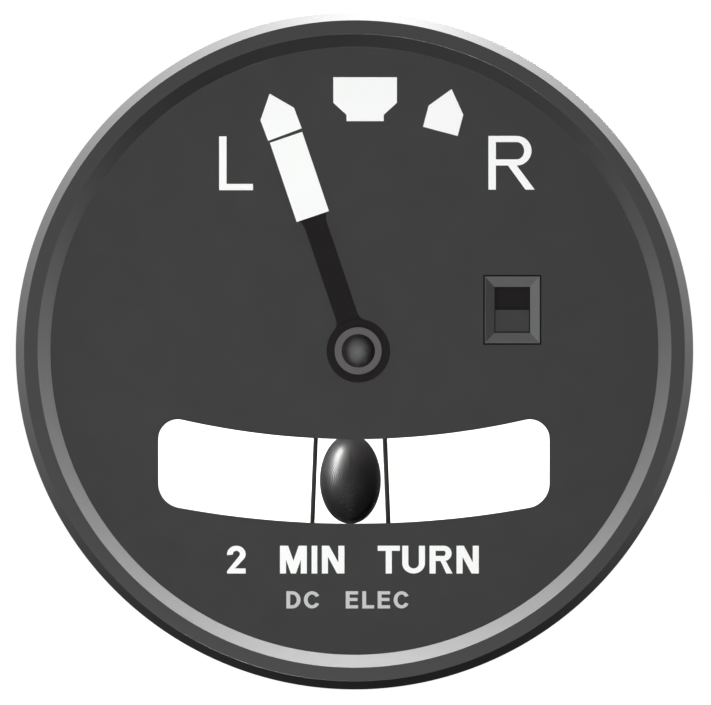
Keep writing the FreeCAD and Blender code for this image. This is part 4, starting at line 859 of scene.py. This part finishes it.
def letter_n(w, h, s, b):
    """Two stems and a diagonal whose edges run corner to corner, parallel to each other."""
    wide = 1.2 * s
    drop = h * s / (w - wide)
    return [np.array([(0, 0), (0, h), (wide, h), (w - s, drop), (w - s, h), (w, h), (w, 0), (w - wide, 0),
                      (s, h - drop), (s, 0)])]


def letter_m(w, h, s, b):
    """Two stems and two diagonals that meet on the base line."""
    wide, foot = 1.35 * s, 0.42 * s
    run = w / 2 - foot + 1.15 * s - wide
    notch = h * (1.15 * s - foot) / run
    drop = h * (w / 2 - foot - s) / run
    right = [(w - wide, h), (w, h), (w, 0), (w - s, 0), (w - s, drop), (w / 2 + foot, 0)]
    left = [(w / 2 - foot, 0), (s, drop), (s, 0), (0, 0), (0, h), (wide, h)]
    return [np.array(right + left + [(w / 2, notch)])]


def letter_u(w, h, s, b):
    level = 0.37 * h
    inner = oval((w / 2, level), w / 2 - s, level - b, 270, 90)
    outer = oval((w / 2, level), w / 2, level, 90, 270)
    return [np.concatenate([[(0, h), (s, h)], inner, [(w - s, h), (w, h)], outer])]


def letter_c(w, h, s, b):
    """Ring open to the right between its two ends."""
    centre, across = (0.53 * w, h / 2), 0.53 * w
    outer = oval(centre, across, h / 2, 62, -242)
    inner = oval(centre, across - s, h / 2 - b, -238, 58)
    return [np.concatenate([outer, inner])]


def letter_d(w, h, s, b):
    start = 0.42 * w
    outer = oval((start, h / 2), w - start, h / 2, 0, 180)
    inner = oval((start, h / 2), w - start - s, h / 2 - b, 0, 180)
    return [np.concatenate([[(0, 0), (0, h)], outer]), np.concatenate([[(s, b), (s, h - b)], inner])]


def bowl_and_leg(w, h, s, b, reach, leg):
    """Stem, a half-round bowl that reaches out, and a leg given by the ends of its two edges."""
    low = 0.45 * h
    radius = (h - low) / 2
    centre = (reach - radius, h - radius)
    outer = oval(centre, radius, radius, 0, 180)
    inner = oval(centre, radius - s, radius - b, 0, 180)
    (left_top, left_foot), (right_top, right_foot) = leg
    foot = [(right_top, low), (right_foot, 0), (left_foot, 0), (left_top, low), (s, low), (s, 0)]
    return [np.concatenate([[(0, 0), (0, h)], outer, foot]),
            np.concatenate([[(s, low + b), (s, h - b)], inner])]


def letter_r(w, h, s, b):
    """Light letter with a sloping leg."""
    return bowl_and_leg(w, h, s, b, 0.93 * w, ((0.42 * w, 0.80 * w), (0.61 * w, w)))


def letter_bold_r(w, h, s, b):
    """Bold letter with a nearly upright leg."""
    return bowl_and_leg(w, h, s, b, 0.96 * w, ((0.48 * w, 0.73 * w), (0.71 * w, w)))


def figure_two(w, h, s, b):
    """Bowl open to the left, a diagonal down to the base, and the base bar."""
    up = 0.30 * h
    centre = (w / 2, h - up)
    inner = oval(centre, w / 2 - s, up - b, 125, -98)
    outer = oval(centre, w / 2, up, -98, 125)
    return [np.concatenate([[(0, 0), (0, 0.09 * h)], inner, outer, [(0.42 * w, b), (w, b), (w, 0)]])]


LETTERS = {"I": letter_i, "L": letter_l, "T": letter_t, "E": letter_e, "N": letter_n, "M": letter_m,
           "U": letter_u, "C": letter_c, "D": letter_d, "R": letter_r, "B": letter_bold_r, "2": figure_two}


def lettering():
    for name, paint, (low, high), (stem, bar), letters in WORDS:
        outlines = []
        for letter, left, right in letters:
            strokes = LETTERS[letter](right - left, high - low, stem, bar)
            outlines += [stroke + (left, low) for stroke in strokes]
        flat_piece(name, outlines, DIAL_FRONT - PAINT, DIAL_FRONT, "mark_paint", edge=LETTER_EDGE,
                   finish=FINISHES[paint])


# Pointer, drawn upright and turned to its rest
ON_STAFF = {"body": "pointer", "centre": (POINTER_X, 0.0), "steps": SMALL_TURN_STEPS}


def arm_outline():
    """Arm with hollow tangent arcs where it leaves the hub and a curved flare at its end."""
    reach = HUB_RADIUS + ARM_NECK
    across = ARM_HALF + ARM_NECK
    up = math.sqrt(reach ** 2 - across ** 2)
    lean = math.degrees(math.atan2(across, up))
    neck = arc((POINTER_X + across, up), ARM_NECK, 180 + lean, 270)
    share = np.linspace(0.0, 1.0, CORNER_STEPS)
    flare = np.stack([POINTER_X + ARM_HALF + (ARM_WIDE_HALF - ARM_HALF) * share ** 2,
                      TIP_START - ARM_FLARE * (1 - share)], 1)
    foot = np.array([(POINTER_X, 0.0)])
    right = np.concatenate([neck, flare])
    left = right[::-1] * (-1, 1) + (2 * POINTER_X, 0)
    return np.concatenate([foot, right, left])


def pointer():
    """Black blade and hub, and a white plate on a black tongue."""
    low, high = node_box("pointer_arm")
    flat_piece("pointer_blade", [arm_outline()], ARM_FRONT, ARM_REAR, "pointer_black", "pointer_arm",
               "pointer", ARM_EDGE, POINTER_TURN)
    profile = [(0, low[1]), (HUB_RADIUS, low[1]), (HUB_RADIUS, ARM_REAR), (BOSS_RADIUS, ARM_REAR),
               (BOSS_RADIUS, high[1]), (0, high[1])]
    turned_piece("pointer_hub", profile, "pointer_black", radius=FINE_EDGE, **ON_STAFF)
    tongue = box_outline(POINTER_X - TONGUE_HALF, POINTER_X + TONGUE_HALF, TIP_START - TONGUE_LAP, TONGUE_END)
    flat_piece("pointer_tongue", [tongue], TIP_REAR, ARM_REAR, "pointer_black", None, "pointer",
               turn=POINTER_TURN)
    tip = box_outline(POINTER_X - TIP_HALF, POINTER_X + TIP_HALF, TIP_START, TIP_END)
    flat_piece("pointer_tip_plate", [tip], TIP_FRONT, TIP_REAR, "pointer_white", "pointer_tip", "pointer",
               turn=POINTER_TURN)


def pointer_collar_ring():
    low, high = node_box("pointer_collar")
    corners = [(STAFF_RADIUS, low[1]), (COLLAR_RADIUS, low[1]), (COLLAR_RADIUS, high[1]),
               (STAFF_RADIUS, high[1])]
    turned_piece("pointer_collar_ring", corners, "collar_grey", "pointer_collar", **ON_STAFF)


def pointer_dome():
    """Dome that is part of a sphere: its radius follows from the cap's radius and height."""
    low, high = node_box("pointer_cap")
    height = high[1] - low[1]
    sphere = (CAP_RADIUS ** 2 + height ** 2) / (2 * height)
    turn = np.linspace(0.0, math.asin(CAP_RADIUS / sphere), DOME_STEPS)
    profile = np.stack([sphere * np.sin(turn), low[1] + sphere * (1 - np.cos(turn))], 1)
    corners = np.concatenate([profile, [(0.0, high[1])]])
    turned_piece("pointer_dome", corners, "cap_black", "pointer_cap", radius=0.0, **ON_STAFF)


# Inclinometer: everything in it follows one arc about the centre of the curve
def curve_place(across, depth, turn):
    """Point at an offset from the tube's centre line, away from the curve's centre and in depth.

    At a turn t to the right the centre line is at (x + R sin t, z - R cos t).
    """
    reach = CURVE_RADIUS + across
    return np.stack([TUBE_X + reach * np.sin(turn), TUBE_Y + depth + 0 * turn,
                     CURVE_Z - reach * np.cos(turn)], -1)


def curved_piece(name, section, slot, node):
    """Closed section of (across, depth) carried along the tube's arc, with a flat cap at each end."""
    turn = np.radians(np.linspace(-TUBE_HALF_ANGLE, TUBE_HALF_ANGLE, TUBE_STEPS))[:, None]
    points = curve_place(section[:, 0], section[:, 1], turn).reshape(-1, 3)
    count = len(section)
    faces = grid_faces(TUBE_STEPS, count, False, True).tolist()
    faces.append(tuple(range(count)))
    faces.append(tuple(range(count * TUBE_STEPS - 1, count * (TUBE_STEPS - 1) - 1, -1)))
    close_smooth(make_piece(name, points, faces, slot, node))


def glass_tube():
    angle = np.linspace(0.0, 2 * math.pi, SMALL_TURN_STEPS, endpoint=False)
    section = np.stack([np.cos(angle), np.sin(angle)], 1)
    curved_piece("inclinometer_glass", section * TUBE_RADIUS, "tube_glass", "inclinometer_tube")


def tube_backing():
    """Half shell behind the tube, between two radii."""
    angle = np.linspace(0.0, math.pi, BACKING_STEPS)
    way = np.stack([np.cos(angle), np.sin(angle)], 1)
    section = np.concatenate([way * BACKING_OUTER, way[::-1] * BACKING_INNER])
    curved_piece("inclinometer_white_backing", section, "white_backing", "inclinometer_backing")


def ball():
    """Sphere with its poles along the depth."""
    low, high = node_box("inclinometer_ball")
    centre = (low + high) / 2
    turn = np.linspace(0.0, math.pi, SMALL_TURN_STEPS // 2)
    profile = np.stack([BALL_RADIUS * np.sin(turn), centre[1] - BALL_RADIUS * np.cos(turn)], 1)
    profile[[0, -1], 0] = 0.0
    return turned_piece("slip_ball", profile, "ball_black", "inclinometer_ball", "ball", centre[[0, 2]], 0.0,
                        SMALL_TURN_STEPS)


def reference_wires():
    """Hoops about the tube: a ring of radius h in the plane across the tube, of round wire."""
    hoop = TUBE_RADIUS + WIRE_RADIUS
    round_angle = np.linspace(0.0, 2 * math.pi, SMALL_TURN_STEPS, endpoint=False)[:, None]
    wire_angle = np.linspace(0.0, 2 * math.pi, WIRE_SIDES, endpoint=False)
    for k, place in enumerate(WIRE_PLACES):
        turn = math.asin((place - TUBE_X) / CURVE_RADIUS)
        ring = hoop + WIRE_RADIUS * np.cos(wire_angle)
        along = WIRE_RADIUS * np.sin(wire_angle) + 0 * round_angle
        points = curve_place(ring * np.cos(round_angle), ring * np.sin(round_angle),
                             np.full_like(along, turn))
        points += along[..., None] * np.array([math.cos(turn), 0.0, math.sin(turn)])
        faces = grid_faces(SMALL_TURN_STEPS, WIRE_SIDES, True, True)[:, ::-1]
        make_piece("reference_wire_%d" % k, points.reshape(-1, 3), faces, "wire_black",
                   None if k else "reference_wires")


# Warning flag
def flag_panel():
    """Grey panel painted on the front of the black vane, a little inside the window's opening: the rim of
    black vane left round it is painted shade for the frame's shadow.
    """
    front = node_box("flag_vane")[0][1]
    outline = box_outline(PANEL_LEFT, PANEL_RIGHT, PANEL_BOTTOM, PANEL_TOP)
    flat_piece("flag_grey_panel", [outline], front - PAINT, front, "vane_grey", None, "flag", PAINT_EDGE)


def flag_screen():
    """Black card on the front of the screen, which shows above the vane."""
    low, high = node_box("flag_window_frame")
    front = high[1] - SCREEN_THICKNESS
    outline = box_outline(FLAG_X - FLAG_WIDTH / 2, FLAG_X + FLAG_WIDTH / 2, low[2] + SCREEN_EDGE,
                          high[2] - SCREEN_EDGE)
    flat_piece("flag_screen_card", [outline], front - PAINT, front, "pointer_black", edge=PAINT_EDGE)


def flag_gap_painted_shade():
    """Black strip sunk in the gap between the dial and the sloping frame: painted shade for the gap's dark
    line, which the shadowless front fill would otherwise light.
    """
    flat_piece("flag_window_gap_shade", [flag_hole(FLAG_GAP), flag_hole(0.0)], DIAL_FRONT + GAP_SHADE_SINK,
               DIAL_HIGH[1], "gasket_rubber", edge=PAINT_EDGE)


# Case and rear
def cut_away(piece, *tools):
    """Takes tools out of a piece and applies the result to its mesh."""
    for tool in tools:
        change = piece.modifiers.new("bore", "BOOLEAN")
        change.object = tool
        change.operation = "DIFFERENCE"
        change.solver = "EXACT"
    depsgraph = bpy.context.evaluated_depsgraph_get()
    mesh = bpy.data.meshes.new_from_object(piece.evaluated_get(depsgraph))
    piece.modifiers.clear()
    piece.data = mesh
    close_smooth(piece)
    for tool in tools:
        bpy.data.objects.remove(tool)


def slot_tool(x, z, reach, half, y_from, y_to):
    """Loose block across a screw head, long in X and narrow in Z."""
    points = [(x + a * reach, y, z + b * half)
              for y in (y_from, y_to) for a, b in ((-1, -1), (1, -1), (1, 1), (-1, 1))]
    faces = [(0, 1, 2, 3), (7, 6, 5, 4), (0, 4, 5, 1), (1, 5, 6, 2), (2, 6, 7, 3), (3, 7, 4, 0)]
    tool = make_piece("cutter", points, faces, "plated_steel")
    close_mesh(tool.data)
    return tool


def aim_out(piece, angle):
    """Turns a piece built on the Y axis to point out at a clock angle, and moves it to the screws' depth."""
    turn = Matrix.Rotation(math.radians(angle), 4, "Y") @ Matrix.Rotation(math.radians(-90), 4, "X")
    piece.data.transform(turn)
    piece.data.transform(Matrix.Translation((0.0, (CASE_HIGH[1] - RIM_INSET) * MM, 0.0)))


def case():
    """Shell with a countersunk bore at each radial screw of the cover."""
    outer, rear = CASE_HIGH[0], CASE_HIGH[1]
    collar, front = outer - COLLAR_STEP, CASE_LOW[1]
    inner, ledge = outer - CASE_WALL, outer - CASE_WALL - LEDGE_WIDTH
    mouth = inner - MOUTH_STEP
    corners = [(mouth, front), (collar, front), (collar, 0), (outer, 0), (outer, rear), (inner, rear),
               (inner, LEDGE_REAR), (ledge, LEDGE_REAR), (ledge, LEDGE_FRONT),
               (mouth, LEDGE_FRONT - LEDGE_STEP)]
    piece = turned_piece("case_wrinkled_shell", corners, "case_enamel", "case_shell", radius=CASE_EDGE,
                         keep_normals=False)
    top = RIM_SINK - outer
    head, shank = RIM_HEAD + FIT, RIM_SHANK + FIT
    bore = [(0, top - CUT_OUT), (head, top - CUT_OUT), (head, top), (shank, top + head - shank),
            (shank, top + CUT_IN), (0, top + CUT_IN)]
    tools = [turned_piece("cutter", bore, "plated_steel", radius=0.0, steps=SCREW_STEPS, keep_normals=False)
             for _ in RIM_ANGLES]
    for tool, angle in zip(tools, RIM_ANGLES):
        aim_out(tool, angle)
    cut_away(piece, *tools)


def rim_screws():
    """Countersunk screws set radially, a little below the case's surface."""
    top = RIM_SINK - CASE_HIGH[0]
    foot = top + RIM_LENGTH
    cone = top + RIM_HEAD - RIM_SHANK
    profile = [(0, top), (RIM_HEAD, top), (RIM_SHANK, cone), (RIM_SHANK, foot), (0, foot)]
    for k, angle in enumerate(RIM_ANGLES):
        piece = turned_piece("rear_cover_screw_%d" % k, profile, SLOTS["rear_cover_screws"],
                             None if k else "rear_cover_screws", radius=RIM_EDGE, steps=SCREW_STEPS,
                             keep_normals=False)
        cut_away(piece, slot_tool(0, 0, RIM_HEAD + 1, SLOT_HALF, top - 1, top + RIM_SLOT))
        aim_out(piece, angle)


def rear_plate_cover():
    front, rear, outer = CASE_HIGH[1] + GASKET, COVER_FLANGE_REAR, CASE_HIGH[0]
    skirt = outer - CASE_WALL - FIT
    skirt_inner, skirt_front = skirt - SKIRT_WALL, COVER_LOW[1]
    rib_outer = outer - RIB_INSET
    rib_inner = rib_outer - RIB_WIDTH
    rib_rear = COVER_HIGH[1]
    corners = [(0, front), (skirt_inner, front), (skirt_inner, skirt_front), (skirt, skirt_front),
               (skirt, front), (outer, front), (outer, rear), (rib_outer, rear), (rib_outer, rib_rear),
               (rib_inner, rib_rear), (rib_inner, rear), (0, rear)]
    turned_piece("rear_cover_dished", corners, "case_enamel", "rear_cover", radius=COVER_RADII)


# Electrical receptacle and plugs on the cover
def slotted_heads(name, node, places, profile, radii, slot_half, slot_depth):
    """One turned and slotted head at each place (x, z), its top the end of the profile."""
    top = profile[-1][1]
    reach = max(radius for radius, _ in profile) + 1
    for k, (x, z) in enumerate(places):
        piece = turned_piece("%s_%d" % (name, k), profile, SLOTS[node], None if k else node, "instrument",
                             (x, z), radii, SCREW_STEPS, False)
        cut_away(piece, slot_tool(x, z, reach, slot_half, top - slot_depth, top + 1))


def flange_screw_places():
    half = FLANGE_SCREW_SPACING / 2
    return [(a * half, RECEPTACLE_Z + b * half) for a in (-1, 1) for b in (-1, 1)]


def flange_screws():
    seat = COVER_FLANGE_REAR + FLANGE_THICKNESS
    foot, top = seat - FLANGE_SCREW_SHANK, seat + FLANGE_SCREW_HEIGHT
    profile = [(0, foot), (RIM_SHANK, foot), (RIM_SHANK, seat), (RIM_HEAD, seat), (RIM_HEAD, top), (0, top)]
    slotted_heads("receptacle_screw", "receptacle_screws", flange_screw_places(), profile, FLANGE_SCREW_RADII,
                  SLOT_HALF, FLANGE_SCREW_SLOT)


def plugs():
    seat, top = COVER_FLANGE_REAR, node_box("cover_plugs")[1][1]
    foot = seat - PLUG_SHANK
    profile = [(0, foot), (PLUG_THREAD, foot), (PLUG_THREAD, seat), (PLUG_RADIUS, seat), (PLUG_RADIUS, top),
               (0, top)]
    slotted_heads("cover_plug", "cover_plugs", [(-PLUG_X, PLUG_Z), (PLUG_X, PLUG_Z)], profile, PLUG_RADII,
                  PLUG_SLOT_HALF, PLUG_SLOT)


def receptacle_flange():
    """Square plate with round corners, a bore for the barrel and four screw holes."""
    half, corner = FLANGE_WIDTH / 2, FLANGE_CORNER
    centres = [((half - corner) * a, RECEPTACLE_Z + (half - corner) * b)
               for a, b in ((1, 1), (1, -1), (-1, -1), (-1, 1))]
    outside = np.concatenate([arc(centre, corner, 90 * k, 90 * k + 90)
                              for k, centre in enumerate(centres)])
    holes = [circle_outline(RIM_SHANK + FIT, place, SCREW_STEPS) for place in flange_screw_places()]
    bore = circle_outline(BARREL_RADIUS - BARREL_WALL / 2, (0.0, RECEPTACLE_Z), SMALL_TURN_STEPS)
    front = COVER_FLANGE_REAR
    flat_piece("receptacle_square_flange", [outside, bore] + holes, front, front + FLANGE_THICKNESS,
               "olive_plating", edge=FLANGE_EDGE)


def receptacle_barrel():
    """Barrel whose outside is a screw thread.

    At height y and turn t the radius is the crest's less the depth times a trapezoid wave of
    y / pitch - t / full turn, and the depth fades out at both ends of the thread. The wave is four
    times the distance from mid-pitch less a half, held between 0 and 1.
    """
    start, end = COVER_FLANGE_REAR + FLANGE_THICKNESS, SHELL_HIGH[1]
    inner, crest = BARREL_RADIUS - BARREL_WALL, BARREL_RADIUS
    first, last = start + THREAD_START, end - THREAD_END
    thread = np.linspace(first, last, int((end - start) / THREAD_PITCH * THREAD_SAMPLES))
    outside = np.stack([np.full_like(thread, crest), thread], 1)
    body = [(inner, SHELL_LOW[1]), (BODY_RADIUS, SHELL_LOW[1]), (BODY_RADIUS, start - BODY_REACH),
            (crest, start - BODY_REACH), (crest, first - 0.1)]
    lip = [(crest - LIP_OUTER, end), (inner + LIP_INNER, end), (inner, end - LIP_INNER)]
    profile = np.concatenate([body, outside, lip])[::-1]
    turn = np.linspace(0.0, 1.0, THREAD_TURN_STEPS, endpoint=False)[:, None]
    y = profile[:, 1]
    wave = np.mod(y / THREAD_PITCH - turn, 1.0)
    trapezoid = np.clip(4.0 * np.abs(wave - 0.5) - 0.5, 0.0, 1.0)
    fade = np.clip((y - first) / THREAD_IN, 0.0, 1.0) * np.clip((last - y) / THREAD_OUT, 0.0, 1.0)
    radius = profile[:, 0] - THREAD_DEPTH * trapezoid * fade * (profile[:, 0] == crest)
    angle = 2 * math.pi * turn
    points = np.stack([radius * np.sin(angle), y + 0 * angle, RECEPTACLE_Z + radius * np.cos(angle)], -1)
    faces = grid_faces(THREAD_TURN_STEPS, len(profile), True, True)
    close_smooth(make_piece("receptacle_threaded_barrel", points.reshape(-1, 3), faces, "olive_plating",
                            "receptacle_shell"))


def receptacle_core():
    """Insert with its four rounded pins."""
    plain_disc("receptacle_insert_disc", "insulator", "receptacle_insert", (0.0, RECEPTACLE_Z),
               SMALL_TURN_STEPS)
    low, high = node_box("receptacle_pins")
    profile = [(0, low[1]), (PIN_RADIUS, low[1]), (PIN_RADIUS, high[1]), (0, high[1])]
    for k in range(4):
        turn = math.radians(45 + 90 * k)
        centre = (PIN_CIRCLE * math.sin(turn), RECEPTACLE_Z + PIN_CIRCLE * math.cos(turn))
        turned_piece("receptacle_pin_%d" % k, profile, "pin_gold", None if k else "receptacle_pins",
                     "instrument", centre, PIN_RADII, SCREW_STEPS)


# Light, floor and camera
def white_to_camera(tree, shader):
    """The shader as the object and its reflections see it, and plain white as the camera sees it."""
    return mixed(tree, seen_by(tree, "Camera"), shader, add(tree, "Emission", {"Strength": 1.0}))


def grey_ramp(tree, part, stops):
    """Grey along a direction's part from -1 to 1, by stops of place from 0 to 1 and value, rising."""
    ramp = add(tree, "ValToRGB", {"Fac": share_of(tree, part, -1.0, 1.0)})
    elements = ramp.node.color_ramp.elements
    elements[0].position, elements[1].position = stops[0][0], stops[-1][0]
    for place, _ in stops[1:-1]:
        elements.new(place)
    for element, (_, value) in zip(elements, stops):
        element.color = (value, value, value, 1.0)
    return ramp


def studio_world():
    """Soft box overhead and dark below, brighter in a band just before the bezel's front.

    Reflections see it by height and by depth, and matt surfaces get a plain even sky. The sky is
    met by chance rays alone, so that the two stay apart.
    """
    world = bpy.data.worlds.new("studio")
    bpy.context.scene.world = world
    world.use_nodes = True
    world.cycles.sampling_method = "NONE"
    tree = world.node_tree
    tree.nodes.clear()
    way = add(tree, "TexCoord", out="Generated")
    parts = add(tree, "SeparateXYZ", {"Vector": way}).node.outputs
    brightest = SKY[-1][1]
    ramp = grey_ramp(tree, parts["Z"], [((1 + math.sin(math.radians(elevation))) / 2, glow / brightest)
                                        for elevation, glow in SKY])
    most = max(share for _, share in SKY_DEPTH)
    depth_ramp = grey_ramp(tree, parts["Y"], [((1 + y) / 2, share / most) for y, share in SKY_DEPTH])
    both = add(tree, "Math", {0: ramp, 1: depth_ramp}, operation="MULTIPLY")
    shown = add(tree, "Math", {0: both, 1: brightest * most * SKY_SHARE}, operation="MULTIPLY")
    glow = add(tree, "Mix", {0: seen_by(tree, "Diffuse"), 2: shown, 3: PLAIN_SKY}, data_type="FLOAT")
    sky = add(tree, "Background", {"Strength": glow})
    add(tree, "OutputWorld", {"Surface": white_to_camera(tree, sky)})


def floor_piece():
    """Pale matte board under the bezel, which fades to white away from the object.

    Only the camera sees it: it keeps the object's shadow and sends no light back.
    """
    material, tree = new_material("pale_matte_board")
    place = object_place(tree)
    away = away_from(tree, place, (0.0, FLOOR_MIDDLE, 0.0), (1.0, 1.0, 0.0))
    fade = share_of(tree, away, *FLOOR_CLEAR, interpolation_type="SMOOTHSTEP")
    mottle = tint(tree, noise(tree, place, FLOOR_MOTTLE), "#f4f4f3", "#f0f0ef")
    pale = add(tree, "BsdfDiffuse", {"Color": mottle})
    seen = mixed(tree, fade, pale, add(tree, "Emission", {"Strength": 1.0}))
    both = mixed(tree, seen_by(tree, "Camera"), add(tree, "BsdfTransparent"), seen)
    add(tree, "OutputMaterial", {"Surface": both})
    size, level = FLOOR_SIZE / 2 * MM, (BEZEL_LOW[2] - FLOOR_GAP) * MM
    mesh = bpy.data.meshes.new("floor_board")
    mesh.from_pydata([(-size, -size, level), (size, -size, level), (size, size, level), (-size, size, level)],
                     [], [(0, 1, 2, 3)])
    mesh.materials.append(material)
    show("floor_board", mesh)


def soft_lamp(name, place, size, power, reflected=True, lighting=True, shadow=True):
    """Round soft box that faces the dial; it can be left out of reflections, lighting or shadows."""
    data = bpy.data.lights.new(name, "AREA")
    data.shape = "DISK"
    data.size = size * MM
    data.energy = power
    data.use_shadow = shadow
    lamp = show(name, data)
    facing = (-Vector(place)).to_track_quat("-Z", "Y").to_matrix().to_4x4()
    lamp.matrix_world = Matrix.Translation(Vector(place) * MM) @ facing
    lamp.visible_camera = False
    lamp.visible_glossy = reflected
    lamp.visible_diffuse = lighting
    return lamp


def ball_glint(piece):
    """Small lamp above the dial that lights the ball alone and passes what stands before it."""
    low, high = node_box("inclinometer_ball")
    place = (low + high) / 2 + GLINT_DISTANCE * np.array(GLINT_WAY)
    lamp = soft_lamp("ball_glint", place, GLINT_SIZE, GLINT_POWER, shadow=False)
    lamp.data.cycles.use_multiple_importance_sampling = False
    receivers = bpy.data.collections.new("ball_glint_receivers")
    receivers.objects.link(piece)
    lamp.light_linking.receiver_collection = receivers


def camera():
    """Long lens straight at the bezel, placed so that the frame spans FRAME_WIDTH at its front."""
    data = bpy.data.cameras.new("camera")
    data.lens = LENS
    distance = FRAME_WIDTH * LENS / data.sensor_width
    data.clip_start = CLIP_START
    data.clip_end = 3 * distance * MM
    eye = show("camera", data)
    eye.location = (AIM_X * MM, (BEZEL_LOW[1] - distance) * MM, AIM_Z * MM)
    eye.rotation_euler = (math.pi / 2, 0.0, 0.0)
    bpy.context.scene.camera = eye


finish_cad_nodes()
bezel()
plain_disc("cover_glass_pane", "cover_glass", "cover_glass")
plain_ring("dial_spacer_turned", "bezel_enamel", "dial_spacer_ring", SPACER_WALL, SPACER_EDGE)
dial()
dial_marks()
lettering()
pointer()
pointer_collar_ring()
pointer_dome()
glass_tube()
tube_backing()
slip_ball = ball()
reference_wires()
flag_panel()
flag_screen()
flag_gap_painted_shade()
case()
rear_plate_cover()
plain_ring("rear_gasket_ring", "gasket_rubber", "rear_cover_gasket", CASE_WALL, EDGE_BREAK)
rim_screws()
receptacle_flange()
receptacle_barrel()
receptacle_core()
flange_screws()
plugs()
studio_world()
floor_piece()
for lamp in LAMPS:
    soft_lamp(*lamp)
ball_glint(slip_ball)
camera()
bpy.context.scene.view_settings.view_transform = "Standard"
